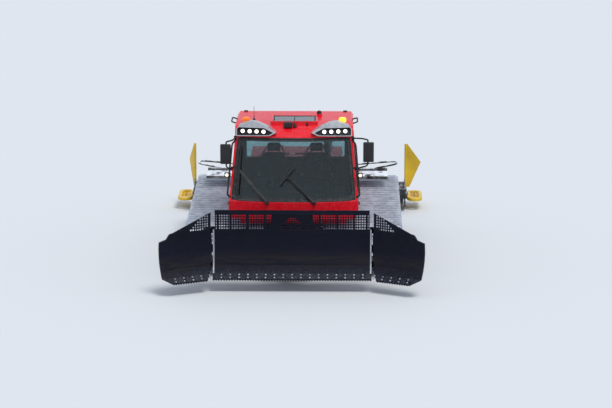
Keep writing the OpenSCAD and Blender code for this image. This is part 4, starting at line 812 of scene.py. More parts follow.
def addSeatFrame(index, foot):
    bm = bmesh.new()
    blockAround(bm, foot, (-0.15, -0.15, 0), (0.15, 0.2, 0.10), 0.015)
    blockAround(bm, foot, (-0.19, -0.2, 0.24), (0.19, 0.22, 0.302), 0.012)
    for fold in range(seat["bellows"]):
        z = 0.10 + fold * 0.024
        blockAround(bm, foot, (-0.155, -0.155, z), (0.155, 0.205, z + 0.019), 0.008)
    for sign in (-1, 1):
        arm = foot + Vector((sign * 0.285, 0, 0))
        blockAround(bm, arm, (-0.035, -0.16, 0.52), (0.035, 0.23, 0.585), 0.02, 3)
        blockAround(bm, arm, (-0.02, 0.16, 0.30), (0.02, 0.22, 0.53), 0.008)
    addPiece("seatFrame" + str(index + 1), bm, ["blackPlastic"])


for index, x in enumerate(seat["places"]):
    addSeatPads(index, mm(x, seat["y"], seat["floor"]))
    addSeatFrame(index, mm(x, seat["y"], seat["floor"]))
print("seats")


# lamps
lamps = {
    "firstX": 990, "pitch": 135, "z": 2760, "radius": 0.042, "proud": 42,
    "trough": [(402, 2745), (482, 2703), (1098, 2684), (1098, 2796), (1068, 2826), (582, 2826)],
}


def addLensedLamp(bm, place, r):
    # bezel ring, bowl and a domed lens
    bezel = [(r * 0.86, 0.004), (r * 0.92, 0.012), (r * 1.12, 0.010), (r * 1.16, -0.004), (r * 1.10, -0.030),
             (r * 0.5, -0.034), (0.0, -0.034)]
    lens = [(0.0, 0.012), (r * 0.35, 0.0105), (r * 0.68, 0.006), (r * 0.88, 0.0), (r * 0.88, -0.006),
            (0.0, -0.006)]
    addTurned(bm, bezel, place)
    addTurned(bm, lens, place, finishIndex=1)


def addHeadlamps():
    bm = bmesh.new()
    for sign in (-1, 1):
        for i in range(4):
            x, z = lamps["firstX"] - i * lamps["pitch"], lamps["z"]
            centre = mm(sign * x, screenY(x, z) - lamps["proud"], z)
            addLensedLamp(bm, facing(centre, (0, -1, 0)), lamps["radius"])
    piece = addPiece("headlampLenses", bm, ["blackPlastic", "lampLit"])
    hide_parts("headlamps")


def addTroughs():
    # the dark bed that the headlamps stand in
    bm = bmesh.new()
    for sign in (-1, 1):
        rim = [Vector((sign * x, z)) for x, z in lamps["trough"]]
        loop = [a.lerp(b, k / 8) for a, b in zip(rim, rim[1:] + rim[:1]) for k in range(8)]
        floor = bm.faces.new([bm.verts.new(mm(x, screenY(abs(x), z) - 9, z)) for x, z in loop])
        walls = bmesh.ops.extrude_face_region(bm, geom=[floor])
        bmesh.ops.translate(bm, vec=(0, -0.050, 0), verts=vertsOf(walls["geom"]))
        bmesh.ops.delete(bm, geom=facesOf(walls["geom"]), context="FACES_ONLY")
    bmesh.ops.triangulate(bm, faces=[f for f in bm.faces if len(f.verts) > 4])
    bmesh.ops.recalc_face_normals(bm, faces=bm.faces[:])
    bmesh.ops.solidify(bm, geom=bm.faces[:], thickness=0.004)
    addPiece("headlampTroughs", bm, ["blackPlastic"])


addHeadlamps()
addTroughs()

beacon = {"x": 935, "y": -1510, "foot": 2836, "radius": 0.080, "height": 0.150, "ribs": 9}


def addBeacon(name, sign, glow):
    # dark foot with a ribbed amber dome
    bm = bmesh.new()
    r, h = beacon["radius"], beacon["height"]
    place = spot(sign * beacon["x"], beacon["y"], beacon["foot"])
    foot = [(0, -0.012), (r * 0.98, -0.012), (r * 0.98, 0.004), (r * 0.90, 0.012), (r * 0.90, h * 0.34),
            (r * 0.96, h * 0.36), (r * 0.96, h * 0.40), (0, h * 0.40)]
    addTurned(bm, foot, place, 32)
    dome = [(0, h * 0.40)]
    for k in range(beacon["ribs"]):
        z = h * (0.40 + 0.046 * k)
        dome += [(r * 0.86, z), (r * 0.90, z + h * 0.014), (r * 0.86, z + h * 0.028)]
    dome += [(r * 0.84, h * 0.84), (r * 0.72, h * 0.94), (r * 0.40, h * 0.99), (0, h)]
    addTurned(bm, dome, place, 32, 1)
    return addPiece(name, bm, ["blackPlastic", glow], "chassis", 25)


right = addBeacon("beaconRight", -1, "amber")
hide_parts("beacons")
addBeacon("beaconLeft", 1, "amberLit")

workLamp = {"z": 1975, "out": 75, "fore": 130, "size": (0.058, 0.035, 0.044)}


def cornerAt(z, out, fore):
    return mm(halfAt(z) + out, screenY(halfAt(z), z) - fore, z)


def mirrorX(point, sign):
    return Vector((point.x * sign, point.y, point.z))


def addWorkLamps():
    bm = bmesh.new()
    wide, deep, tall = workLamp["size"]
    lens = [(0, 0.004), (0.020, 0.003), (0.030, 0.0), (0.032, -0.006), (0, -0.006)]
    for sign in (-1, 1):
        middle = mirrorX(cornerAt(workLamp["z"], workLamp["out"], workLamp["fore"]), sign)
        blockAround(bm, middle, (-wide, -deep + 0.006, -tall), (wide, deep, tall), 0.012, 3)
        for fin in range(5):
            x = (fin - 2) * 0.02
            low, high = (x - 0.003, deep - 0.002, -tall * 0.8), (x + 0.003, deep + 0.012, tall * 0.8)
            blockAround(bm, middle, low, high)
        addTurned(bm, lens, facing(middle + Vector((sign * 0.012, -deep + 0.004, 0)), (0, -1, 0)), 20, 1)
        bracket = middle - Vector((sign * 0.03, 0, 0))
        blockAround(bm, bracket, (-0.02, deep, -0.028), (0.02, deep + 0.045, 0.028), 0.005)
    piece = addPiece("workLampHousings", bm, ["blackPlastic", "lampWarm"])
    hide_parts("work_lamps")


addWorkLamps()
print("lamps and beacons")


# mirrors on bent tube arms
mirror = {
    "places": [(1, 1335, 2219), (-1, 1205, 2172)],
    "size": (205, 55, 392),
    "y": -2140,
    "tube": 0.015,
    "roots": [2620, 2060],
}


def addMirrors():
    bm = bmesh.new()
    wide, deep, tall = mirror["size"]
    for sign, inner, z in mirror["places"]:
        def at(x, y, height):
            # a point from the mirror's inner lower corner
            return mirrorX(mm(inner + x, mirror["y"] + y, z + height), sign)
        corners = [Vector([f(a, b) for a, b in zip(at(0, 0, 0), at(wide, deep, tall))]) for f in (min, max)]
        addBlock(bm, corners[0], corners[1] - Vector((0, 0.006, 0)), 0.024, 4)
        addBlock(bm, corners[0] + Vector((0.014, deep / 1000 - 0.010, 0.016)),
                 corners[1] - Vector((0.014, 0.001, 0.016)), 0.003, 1, finishIndex=1)
        for height in (60, tall - 60):
            slab(bm, at(68, 16, height - 14), at(112, 34, height + 14), 0.003)
        roots = [mirrorX(cornerAt(height, -12, -12), sign) for height in mirror["roots"]]
        upper = [roots[0], at(-20, 60, 455), at(90, 27, 435), at(90, 27, 385)]
        lower = [roots[1], at(60, 20, -75), at(90, 27, -45), at(90, 27, 8)]
        addTube(bm, upper, mirror["tube"], 0.06)
        addTube(bm, lower, mirror["tube"], 0.04)
        for root in roots:
            blockAround(bm, root, (-0.035, -0.02, -0.04), (0.035, 0.02, 0.04), 0.008)
    piece = addPiece("mirrorSet", bm, ["blackPlastic", "mirrorGlass"])
    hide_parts("mirrors")


addMirrors()
print("mirrors")


# wipers
wiper = {
    # foot x, tip x, tip z, half blade, lean
    "table": [(408, -120, 1945, 230, 38), (-500, -1040, 2040, 480, 3)],
    "boss": [(0, -0.02), (0.030, -0.02), (0.030, 0.016), (0.024, 0.026), (0, 0.028)],
    "arm": 0.016,
    "apart": 0.014,
}


def addWipers():
    bm = bmesh.new()
    for footX, tipX, tipZ, half, lean in wiper["table"]:
        foot = mm(footX, screenY(footX, cabForm["sill"]) - 30, cabForm["sill"] - 8)
        tip = mm(tipX, screenY(tipX, tipZ) - 34, tipZ)
        addTurned(bm, wiper["boss"], facing(foot, (0, -1, 0.1)), 20)
        knee = foot.lerp(tip, 0.25) + Vector((0, -0.004, 0))
        aside = (tip - foot).cross(Vector((0, 1, 0))).normalized() * wiper["apart"]
        addTube(bm, [foot, knee], 0.024, 0.01, 10)
        for sign in (-1, 1):
            rod = [foot + aside * sign, knee + aside * sign, tip + aside * sign * 0.8]
            addTube(bm, rod, wiper["arm"], 0.01, 8)
        acrossX = half * math.sin(math.radians(lean))
        acrossZ = half * math.cos(math.radians(lean)) * math.cos(rake)
        ends = []
        for k in (-1, -0.5, 0, 0.5, 1):
            x, z = tipX + acrossX * k, tipZ + acrossZ * k
            ends.append(mm(x, screenY(x, z) - 8, z))
        addTube(bm, ends, 0.012, 0.01, 6)
        addTube(bm, [e + Vector((0, -0.018, 0.008)) for e in ends], 0.014, 0.01, 6)
        blockAround(bm, tip, (-0.018, -0.014, -0.03), (0.018, 0.022, 0.03), 0.005)
    piece = addPiece("wiperSet", bm, ["blackPlastic"])
    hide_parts("wipers")


addWipers()


# seals round the panes
seal = {
    "radius": 0.016, "bandIn": 52, "corner": 0.15, "steps": 12, "foot": 1502, "top": 2630, "sideIn": (60, 57),
}


def screenLoop(inset, proud):
    # the windscreen's edge moved in, with rounded corners, on the bowed surface
    low, high = seal["foot"] + inset, seal["top"] - inset
    half, top = cabForm["half"] - seal["sideIn"][0] - inset, cabForm["topHalf"] - seal["sideIn"][1] - inset
    rim = [Vector((half, low, 0)), Vector((top, high, 0)), Vector((-top, high, 0)), Vector((-half, low, 0))]
    loop = []
    reach = [seal["corner"] * size for size in (1000, 500, 500, 1000)]
    for k in range(4):
        before, corner, after = rim[k - 1], rim[k], rim[(k + 1) % 4]
        back, on = (before - corner).normalized(), (after - corner).normalized()
        end = corner + on * reach[k]
        loop += cornerCurve(corner + back * reach[k], corner, end)
        goal = after - on * reach[(k + 1) % 4]
        loop += [end.lerp(goal, j / seal["steps"]) for j in range(1, seal["steps"])]
    return [onScreen(p.x, p.y) + Vector((0, proud, 0)) for p in loop]


def addLoft(bm, rings, closed):
    # faces between rings of points, which meet at their ends when closed
    rings = [[bm.verts.new(p) for p in ring] for ring in rings]
    for a, b in zip(rings, rings[1:] + rings[:1]):
        for k in range(len(a) if closed else len(a) - 1):
            nxt = (k + 1) % len(a)
            bm.faces.new((a[k], a[nxt], b[nxt], b[k]))
    return rings


def addScreenSeal():
    # a rubber strip on the windscreen's edge and the dark band printed inside it
    bm = bmesh.new()
    addRing(bm, screenLoop(0, 0.006), seal["radius"])
    outer, inner = screenLoop(10, 0.0035), screenLoop(seal["bandIn"], 0.0035)
    deeper = [[p + Vector((0, 0.003, 0)) for p in loop] for loop in (inner, outer)]
    addLoft(bm, [outer, inner, *deeper], True)
    addPiece("screenSeal", bm, ["rubber"])


addScreenSeal()
print("wipers and seals")

# fenders: folded plates and bent tube hoops
fender = {
    "inner": 922, "outer": 1860, "front": 900, "rear": 1560, "z": 1320, "lip": 48, "tube": 0.018,
    "hoop": [(1490, 1515, 1356), (2058, 1600, 1450), (2068, 2180, 1400), (905, 2255, 1288)],
    "clamps": (1530, 1650),
}


def addFenders():
    bm = bmesh.new()
    inner, outer, front, rear, z = [fender[key] for key in ("inner", "outer", "front", "rear", "z")]
    plates = [  # near and far x, near and far y, near and far z from the plate, edge
        (inner, outer, front, rear, 0, 12, 0.003),
        (inner, outer, front, front + 20, -fender["lip"], 12, 0.005),
        (inner, outer, rear - 80, rear, 2, 60, 0.008),
    ]
    for x in range(inner + 110, outer - 100, 180):
        plates.append((x, x + 40, front + 60, rear - 110, 11, 19, 0.004))
    for x in fender["clamps"]:
        plates.append((x - 24, x + 24, rear - 50, rear + 6, 12, 68, 0.006))
    for sign in (-1, 1):
        for x0, x1, y0, y1, z0, z1, edge in plates:
            slab(bm, mm(sign * x0, y0, z + z0), mm(sign * x1, y1, z + z1), edge)
        addTube(bm, [mm(sign * a, b, c) for a, b, c in fender["hoop"]], fender["tube"], 0.16, 16)
        for x in (inner + 60, inner + 420, outer - 60):
            addBolt(bm, mm(sign * x, rear - 40, z + 60), (0, 0, 1), 0.028, 0.010)
    piece = addPiece("fenderSet", bm, ["frostedPlastic"])
    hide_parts("fenders")


addFenders()

# yellow end skids of the tiller
skid = {
    "inner": 2335, "outer": 2670, "front": 3720, "rear": 4600, "low": 202, "high": 282, "wall": 80, "round": 0.022,
    "brackets": (3975, 4090),
}


def addSkids():
    bm = bmesh.new()
    front, rear, up = skid["front"], skid["rear"], Vector((0, 0, 1))
    half = (skid["outer"] - skid["inner"]) / 2
    middle, reach = (skid["inner"] + skid["outer"]) / 2, half - skid["wall"] / 2
    z = (skid["low"] + skid["high"]) / 2
    w, r = skid["wall"] / 2000, skid["round"]
    section = []
    for cx, cy, first in ((w - r, w - r, 0), (r - w, w - r, 90), (r - w, r - w, 180), (w - r, r - w, 270)):
        turns = [math.radians(first + k * 30) for k in range(4)]
        section += [(cx + r * math.cos(t), cy + r * math.sin(t)) for t in turns]
    for sign in (-1, 1):
        path = []
        for end, first in ((rear - half, 0), (front + half, 180)):
            for t in [math.radians(first + k * 15) for k in range(13)]:
                path.append(mm(sign * (middle + reach * math.cos(t)), end + reach * math.sin(t), z))
        frames = []
        for point, ahead, behind in zip(path, path[1:] + path[:1], path[-1:] + path[:-1]):
            along = (ahead - behind).normalized()
            frames.append(Matrix.Translation(point) @ turnedTo(along.cross(up), up, along))
        sweep(bm, section, frames + frames[:1], closed=True)
        # the wear plate inside the ring, its ribs and bolts
        slab(bm, mm(sign * (middle - 88), front + 150, 226), mm(sign * (middle + 88), rear - 150, 244), 0.002)
        for y in range(front + 220, rear - 200, 110):
            slab(bm, mm(sign * (middle - 84), y, 243), mm(sign * (middle + 84), y + 22, 258), 0.004)
            addBolt(bm, mm(sign * middle, y + 66, 244), up, 0.030, 0.012, 1)
        for y in skid["brackets"]:
            slab(bm, mm(sign * 2302, y, 212), mm(sign * 2344, y + 60, 340), 0.006, 2)
            addBolt(bm, mm(sign * 2344, y + 30, 312), (sign, 0, 0), 0.032, 0.012, 1)
    piece = addPiece("endSkids", bm, ["yellowPaint", "blackPlastic", "frameGrey"], "tiller_body", 40)
    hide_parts("tiller_skids")


addSkids()
print("fenders and skids")

# grab rails, roof hooks and deck rails
rails = {
    "tube": 0.017, "knurl": 0.0195, "pitch": 0.032, "hookY": [-900, -1330], "hook": 0.014, "deckX": 872,
    "deckY": [1610, 2360], "deckZ": [1289, 1630], "deckTube": 0.020, "lampGap": 70,
    "ends": [(1545, -12, -16), (1600, 45, 50), (2520, 45, 50), (2580, -12, -16)],
    "foot": [(0.034, -0.006), (0.034, 0.004), (0.024, 0.012), (0, 0.014)],
}


def addGrabRails():
    bm = bmesh.new()
    r, k = rails["tube"] * 0.98, rails["knurl"]
    ridge = [(r, -0.009), (k, -0.006), (k, 0.006), (r, 0.009)]
    x, roof = cabForm["topHalf"], cabForm["roof"]
    near, far = rails["hookY"]
    hook = [(x - 22, near, roof - 53), (x + 90, near, roof - 20), (x + 90, far, roof - 30),
            (x - 22, far, roof - 63)]
    for sign in (-1, 1):
        points = [mirrorX(cornerAt(*end), sign) for end in rails["ends"]]
        addTube(bm, points, rails["tube"], 0.05, 14)
        low, high = points[1].lerp(points[2], 0.06), points[1].lerp(points[2], 0.94)
        count = int((high - low).length / rails["pitch"])
        for i in range(count):
            point = low.lerp(high, i / count)
            if abs(point.z * 1000 - workLamp["z"]) >= rails["lampGap"]:
                addTurned(bm, ridge, facing(point, high - low), 12)
        for point in (points[0], points[3]):
            addTurned(bm, rails["foot"], facing(point, (sign, -0.8, 0)), 20)
        addTube(bm, [mm(sign * a, b, c) for a, b, c in hook], rails["hook"], 0.09, 12)
    piece = addPiece("grabRails", bm, ["blackPlastic"])
    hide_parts("grab_rails")


def addDeckRails():
    bm = bmesh.new()
    (front, rear), (low, high) = rails["deckY"], rails["deckZ"]
    for x in (-rails["deckX"], rails["deckX"]):
        hoop = [mm(x, front, low), mm(x, front, high), mm(x, rear, high), mm(x, rear, low)]
        addTube(bm, hoop, rails["deckTube"], 0.10, 14)
        for y in (front, rear):
            addTurned(bm, [(0.027, 0.0), (0.027, 0.006), (0.021, 0.010), (0, 0.010)], spot(x, y, low), 20)
    piece = addPiece("deckTubes", bm, ["blackPlastic"])
    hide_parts("deck_rails")


addGrabRails()
addDeckRails()

# rear lamps and the skylight's frame
roofEdge = {
    "lampX": (945, 1025), "lampY": (-350, -270), "lampZ": (2852, 2908), "paneHalf": 412, "paneY": (-1480, -890),
    "bar": 26,
}


def addRearLamps():
    bm = bmesh.new()
    (x0, x1), (y0, y1), (z0, z1) = roofEdge["lampX"], roofEdge["lampY"], roofEdge["lampZ"]
    for sign in (-1, 1):
        slab(bm, mm(sign * x0, y0, z0), mm(sign * x1, y1 - 10, z1), 0.010)
        slab(bm, mm(sign * (x0 + 8), y1 - 12, z0 + 8), mm(sign * (x1 - 8), y1, z1 - 8), 0.004, 1)
    piece = addPiece("rearLamps", bm, ["blackPlastic", "lampRed"])
    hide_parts("rear_lamps")


def addSkylightFrame():
    bm = bmesh.new()
    half, (front, rear), wide = roofEdge["paneHalf"], roofEdge["paneY"], roofEdge["bar"]
    foot = cabForm["roof"] + 2
    bars = [(-half, front, half, front + wide), (-half, rear - wide, half, rear),
            (-half, front, -half + wide, rear), (half - wide, front, half, rear), (-9, front, 9, rear)]
    for x0, y0, x1, y1 in bars:
        slab(bm, mm(x0, y0, foot), mm(x1, y1, foot + 10), 0.002)
    addPiece("skylightFrame", bm, ["blackPlastic"])


addRearLamps()
addSkylightFrame()
print("rails, rear lamps and skylight")

# fittings on the roof
roofKit = {
    "box": [(-198, -1678, 2803), (-32, -1572, 2906)], "cone": (15, -1610, 2815), "stub": (250, -1570, 2830),
    "dome": (475, -740, 2880), "aerial": (-793, -1180, 2870), "aerialTop": 3143,
    "turned": [  # place, profile of (radius, height), steps, finish
        ("cone", [(0.036, -0.01), (0.037, 0.012), (0.030, 0.022), (0.012, 0.078), (0.006, 0.084), (0, 0.084)],
         24, 0),
        ("stub", [(0.020, -0.01), (0.020, 0.05), (0.015, 0.058), (0, 0.060)], 20, 0),
        ("dome", [(0.058, -0.01), (0.058, 0.030), (0.052, 0.038), (0, 0.038)], 32, 1),
        ("dome", [(0.046, 0.038), (0.048, 0.060), (0.044, 0.080), (0.032, 0.094), (0.014, 0.102), (0, 0.103)],
         32, 0),
        ("aerial", [(0.026, -0.03), (0.026, 0.016), (0.018, 0.028), (0.011, 0.040), (0, 0.040)], 20, 0),
    ],
}


def addRoofKit():
    bm = bmesh.new()
    low, high = [mm(*p) for p in roofKit["box"]]
    addBlock(bm, low, high, 0.012, 3)
    for k in range(4):
        z = 0.028 + k * 0.016
        addBlock(bm, low + Vector((0.02, -0.001, z)), Vector((high.x - 0.02, low.y + 0.003, low.z + z + 0.006)))
    for name, profile, steps, finishIndex in roofKit["turned"]:
        addTurned(bm, profile, spot(*roofKit[name]), steps, finishIndex)
    # the aerial's spring and whip
    foot = mm(*roofKit["aerial"])
    turns = [k * math.pi / 6 for k in range(60)]
    coil = [foot + Vector((0.007 * math.cos(a), 0.007 * math.sin(a), 0.040 + a * 0.0014)) for a in turns]
    addTube(bm, coil, 0.0026, 0.001, 6)
    top = Vector((foot.x, foot.y, roofKit["aerialTop"] / 1000 - 0.004))
    addTube(bm, [foot + Vector((0, 0, 0.04)), top], 0.0042, 0.001, 8)
    piece = addPiece("roofKit", bm, ["blackPlastic", "redPaint"])
    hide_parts("roof_fittings")


addRoofKit()

# seals of the side and rear panes, door furniture
panes = {
    "door": [(-995, 1420), (-995, 2520), (-1533, 2520), (-2015, 1505), (-2015, 1420)],
    "side": [(-400, 1440), (-400, 2550), (-780, 2550), (-780, 1440)],
    "rear": [(985, 1960), (985, 2550), (-985, 2550), (-985, 1960)],
    "seal": 0.011, "corner": 60,
    "handleY": (-1962, -1784), "handleZ": (1346, 1374), "handleX": (1262, 1280), "lockY": -1740,
}


def onSide(y, z, out, sign):
    return mm(sign * (halfAt(max(z, shoulderZ)) + out), y, z)


def addSealLoop(bm, outline, place):
    # a rubber strip round an outline with rounded corners
    points = [Vector((a, b, 0)) for a, b in outline]
    start = points[-1].lerp(points[0], 0.5)
    path = [place(p.x, p.y) for p in roundedPath([start] + points + [start], panes["corner"])[:-1]]
    addRing(bm, path, panes["seal"])


def addDoorTrim(side, body, sign):
    bm = bmesh.new()
    addSealLoop(bm, panes["door"], lambda y, z: onSide(y, z, -4, sign))
    (y0, y1), (z0, z1), (x0, x1) = panes["handleY"], panes["handleZ"], panes["handleX"]
    slab(bm, mm(sign * x0, y0, z0), mm(sign * x1, y1, z1), 0.006, 1)
    for y in (y0 + 14, y1 - 14):
        slab(bm, mm(sign * 1243, y - 18, z0 - 8), mm(sign * 1253, y + 18, z1 + 8), 0.004, 1)
    addTurned(bm, [(0.020, -0.004), (0.020, 0.004), (0.016, 0.007), (0.008, 0.008), (0, 0.005)],
              facing(mm(sign * 1250, panes["lockY"], 1360), (sign, 0, 0)), 20, 2)
    addPiece("doorTrim" + side, bm, ["rubber", "blackPlastic", "wornSteel"], body)


def addCabTrim():
    bm = bmesh.new()
    for sign in (-1, 1):
        addSealLoop(bm, panes["side"], lambda y, z: onSide(y, z, -4, sign))
    addSealLoop(bm, panes["rear"], lambda x, z: mm(x, cabForm["rear"] - 4, z))
    addPiece("paneSeals", bm, ["rubber"])


addDoorTrim("Left", "door_left_body", 1)
addDoorTrim("Right", "door_right_body", -1)
addCabTrim()

# the hood's seams, latches, handles and filler
hood = {
    "half": 920, "top": 1880, "seamY": (60, 1190), "seamZ": (1232, 1852), "seam": 5, "latchY": (220, 1030),
    "filler": (-560, 980), "vents": [(-560, 480), (-240, 480), (80, 480)], "gripX": 300, "gripY": (1050, 1190),
    "exhaust": (640, 30), "clamps": [(2060, 0.0845), (2420, 0.066), (2500, 0.066)],
}


def addHoodSides(bm):
    # a shut line, latches and hinges on each side
    (y0, y1), (z0, z1), w = hood["seamY"], hood["seamZ"], hood["seam"]
    seams = [(y0, y1, z0, z0 + w), (y0, y1, z1 - w, z1), (y0, y0 + w, z0, z1), (y1 - w, y1, z0, z1)]
    plates = [(a, b, c, d, 1.2, 0.0, 0) for a, b, c, d in seams]
    for y in hood["latchY"]:
        plates.append((y - 34, y + 34, z1 - 70, z1 - 22, 9, 0.005, 1))
        plates.append((y - 12, y + 12, z1 - 60, z1 - 32, 15, 0.004, 2))
        plates.append((y - 40, y + 40, z0 - 4, z0 + 18, 12, 0.005, 1))
    for sign in (-1, 1):
        for a, b, c, d, out, edge, finishIndex in plates:
            inner, outer = sign * (hood["half"] - 2), sign * (hood["half"] + out)
            slab(bm, mm(inner, a, c), mm(outer, b, d), edge, finishIndex)


def addHoodTop(bm):
    # vents, the filler's cap with its grips, and two handles
    top = hood["top"]
    for x, y in hood["vents"]:
        slab(bm, mm(x - 110, y - 70, top - 1), mm(x + 110, y + 70, top + 5), 0.003, 1)
        for k in range(6):
            slab(bm, mm(x - 96, y - 58 + k * 21, top + 4), mm(x + 96, y - 47 + k * 21, top + 10), 0.003, 1)
    x, y = hood["filler"]
    cap = [(0.062, -0.002), (0.062, 0.006), (0.050, 0.010), (0.050, 0.030), (0.044, 0.036), (0, 0.038)]
    addTurned(bm, cap, spot(x, y, top), 28, 1)
    for a in [k * math.pi / 5 for k in range(10)]:
        place = spot(x + 51 * math.cos(a), y + 51 * math.sin(a), top)
        addTurned(bm, [(0.005, 0.010), (0.005, 0.032), (0, 0.033)], place, 6, 1)
    front, rear = hood["gripY"]
    for x in (-hood["gripX"], hood["gripX"]):
        grip = [mm(x, y, top + z) for y, z in ((rear, -6), (rear, 42), (front, 42), (front, -6))]
        addTube(bm, grip, 0.010, 0.025, 10, 1)


def addHoodTrim():
    bm = bmesh.new()
    addHoodSides(bm)
    addHoodTop(bm)
    x, y = hood["exhaust"]
    for z, r in hood["clamps"]:
        ring = [(r, -0.013), (r + 0.004, -0.012), (r + 0.004, 0.012), (r, 0.013)]
        addTurned(bm, ring, spot(x, y, z), 32, 2)
        addBolt(bm, mm(x, y - r * 1000 - 3, z), (0, -1, 0), 0.022, 0.012, 2)
    addPiece("hoodTrim", bm, ["rubber", "blackPlastic", "wornSteel"])


addHoodTrim()

# caps and nuts on the wheels' hubs
hub = {
    "cap": 0.046, "nuts": 8, "nutRing": 0.055, "nut": 0.018, "reach": 0.085,
    "axles": [(-2060, 555), (-1360, 405), (-680, 405), (0, 405), (680, 405), (1360, 405)],
}


def addHubs():
    bm = bmesh.new()
    points = [v.co for v in nodes["load_wheels"].data.vertices]
    r = hub["cap"]
    cap = [(r, -0.002), (r, 0.010), (r * 0.8, 0.020), (r * 0.3, 0.024), (0, 0.024)]
    for y, z in hub["axles"]:
        centre = mm(0, y, z)
        face = max(abs(p.x) for p in points if (Vector((0, p.y, p.z)) - centre).length < hub["reach"])
        for sign in (-1, 1):
            place = facing(centre + Vector((sign * face, 0, 0)), (sign, 0, 0))
            addTurned(bm, cap, place)
            for a in [k * 2 * math.pi / hub["nuts"] for k in range(hub["nuts"])]:
                nut = place @ Vector((hub["nutRing"] * math.cos(a), hub["nutRing"] * math.sin(a), -0.001))
                addBolt(bm, nut, (sign, 0, 0), hub["nut"], 0.010, 1)
    addPiece("hubCaps", bm, ["blackPlastic", "wornSteel"])


addHubs()

# display and joysticks by the seats
controls = {
    "display": (-640, -1930, 1770), "lean": -14, "stickX": (-135, 705), "stickY": -1270, "stickZ": 1765,
    "stick": [(0.040, 0), (0.040, 0.012), (0.028, 0.030), (0.014, 0.040), (0.012, 0.090), (0.018, 0.100),
              (0.024, 0.130), (0.022, 0.160), (0.012, 0.172), (0, 0.174)],
}


def addControls():
    bm = bmesh.new()
    lean = Matrix.Rotation(math.radians(controls["lean"]), 4, "X")
    middle = mm(*controls["display"])
    blockAround(bm, middle, (-0.13, -0.016, -0.085), (0.13, 0.016, 0.085), 0.008, 3, lean)
    blockAround(bm, middle, (-0.118, 0.010, -0.073), (0.118, 0.018, 0.073), 0.002, 1, lean, 1)
    addTube(bm, [mm(-640, -1950, 1640), mm(-640, -1945, 1720)], 0.014, 0.01, 10)
    for x in controls["stickX"]:
        foot = mm(x, controls["stickY"], controls["stickZ"])
        addTurned(bm, controls["stick"], Matrix.Translation(foot))
        for side in (-0.010, 0.010):
            button = foot + Vector((side, -0.0225, 0.138))
            blockAround(bm, button, (-0.005, -0.0045, -0.006), (0.005, 0.0045, 0.006), 0.002, finishIndex=2)
    addPiece("controls", bm, ["blackPlastic", "dashPlastic", "redPaint"])


addControls()
print("trim of doors, hood, hubs and cabin")

# the blade's pale strips along the split, a painted highlight with frost on them, and its bolts
blade = {
    "half": 1500, "wing": 1130, "angle": 27, "y": -3560, "lift": 220, "radius": 900, "hollowZ": 620, "thick": 40,
    "mitre": 0.3, "height": 950, "guardTop": 1320, "boltPitch": 148, "edgeWide": 0.026, "archY": 206,
    "bolt": [(0.017, 0.0), (0.016, 0.004), (0.010, 0.008), (0, 0.009)],
}
blade["hollowY"] = -math.sqrt(blade["radius"] ** 2 - blade["hollowZ"] ** 2)


def bladeFaceY(z, proud=0.0):
    return blade["hollowY"] + math.sqrt((blade["radius"] - proud) ** 2 - (z - blade["hollowZ"]) ** 2)


blade["hingeY"] = bladeFaceY(blade["hollowZ"]) + blade["thick"] + 42


def atBlade(x, y, z, sign, wing):
    # a point on the drawn blade, on a wing turned about its hinge
    if wing:
        turn = math.radians(-blade["angle"])
        dx, dy = x - blade["half"], y - blade["hingeY"]
        x = blade["half"] + dx * math.cos(turn) - dy * math.sin(turn)
        y = blade["hingeY"] + dx * math.sin(turn) + dy * math.cos(turn)
    return mirrorX(mm(x, y + blade["y"], z + blade["lift"]), sign)


def addStrip(bm, points, side, wide, thick, finishIndex=0):
    # a flat bar along points, its width along a side
    frames, count = [], len(points)
    for i in range(count):
        along = (points[min(i + 1, count - 1)] - points[max(i - 1, 0)]).normalized()
        x = (side - along * side.dot(along)).normalized()
        frames.append(Matrix.Translation(points[i]) @ turnedTo(x, along.cross(x), along))
    bar = [(-wide / 2, -thick), (wide / 2, -thick), (wide / 2, thick * 0.6), (wide * 0.4, thick),
           (-wide * 0.4, thick), (-wide / 2, thick * 0.6)]
    sweep(bm, bar, frames, finishIndex=finishIndex)


def splitX(z):
    return blade["half"] - 4 - (blade["hingeY"] - bladeFaceY(z)) * math.tan(math.radians(blade["mitre"]))


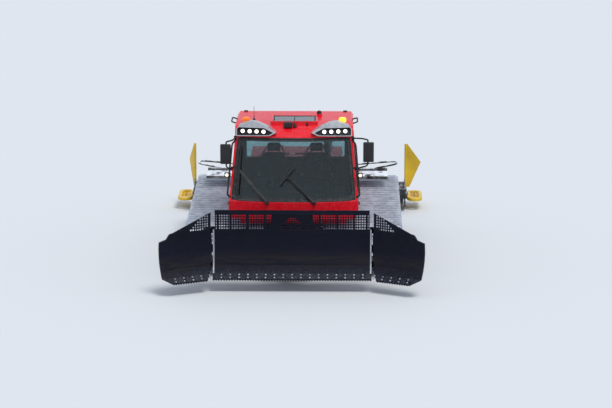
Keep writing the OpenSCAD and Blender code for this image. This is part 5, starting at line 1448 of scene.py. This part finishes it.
def addBladeTrim(name, body, signs, wing):
    bm = bmesh.new()
    half, tip = blade["half"], blade["half"] + blade["wing"]
    for sign in signs:
        if not wing:
            # a pale strip along the split: a painted highlight, with frost on it
            path = []
            for k in range(19):
                z = 60 + (blade["height"] - 62) * k / 18
                path.append(atBlade(splitX(z) - 16, bladeFaceY(z, 1), z, sign, False))
            addStrip(bm, path, Vector((1, 0, 0)), blade["edgeWide"], 0.003, 1)
        # carriage bolts of the cutting edge
        low, high = (half + 190, tip - 240) if wing else (0, half - 170)
        steps = int((high - low) / blade["boltPitch"])
        for k in range(steps + 1):
            x = low + (high - low) * k / steps
            if not wing and sign < 0 and k == 0:
                continue
            for z, y in ((62, 20.5), (108, 62.0)):
                centre = atBlade(x, y, z, sign, wing)
                out = atBlade(x, y - 0.741 * 10, z + 0.671 * 10, sign, wing) - centre
                addTurned(bm, blade["bolt"], facing(centre, out), 12, 2)
    addPiece(name, bm, ["bladePaint", "frostAndPaintedHighlight", "wornSteel"], body, 35)


def addGuardArch():
    # the dark plate behind the guard's middle, open in a triangle
    bm = bmesh.new()
    foot, top = blade["height"] + 8, blade["guardTop"] - 36
    outer = [(-440, foot), (-400, foot + 130), (-300, top), (300, top), (400, foot + 130), (440, foot)]
    inner = [(-285, foot), (-235, foot + 60), (-55, foot + 205), (55, foot + 205), (235, foot + 60), (285, foot)]
    rows = addLoft(bm, [[atBlade(x, blade["archY"] + y, z, 1, False) for x, z in line]
                        for line, y in ((outer, 0), (inner, 0), (inner, 6), (outer, 6))], False)
    for end in (0, -1):
        bm.faces.new([row[end] for row in rows])
    for sign in (-1, 1):
        for x, z in ((350, foot + 110), (405, foot + 40), (200, top - 22), (60, top - 22)):
            addBolt(bm, atBlade(sign * x, blade["archY"], z, 1, False), (0, -1, 0), 0.024, 0.008)
    addPiece("guardArch", bm, ["bladePaint"], "blade_body", 35)


addGuardArch()
addBladeTrim("bladeTrim", "blade_body", (-1, 1), False)
addBladeTrim("wingTrimLeft", "wing_left_body", (1,), True)
addBladeTrim("wingTrimRight", "wing_right_body", (-1,), True)
print("roof fittings and blade trim")
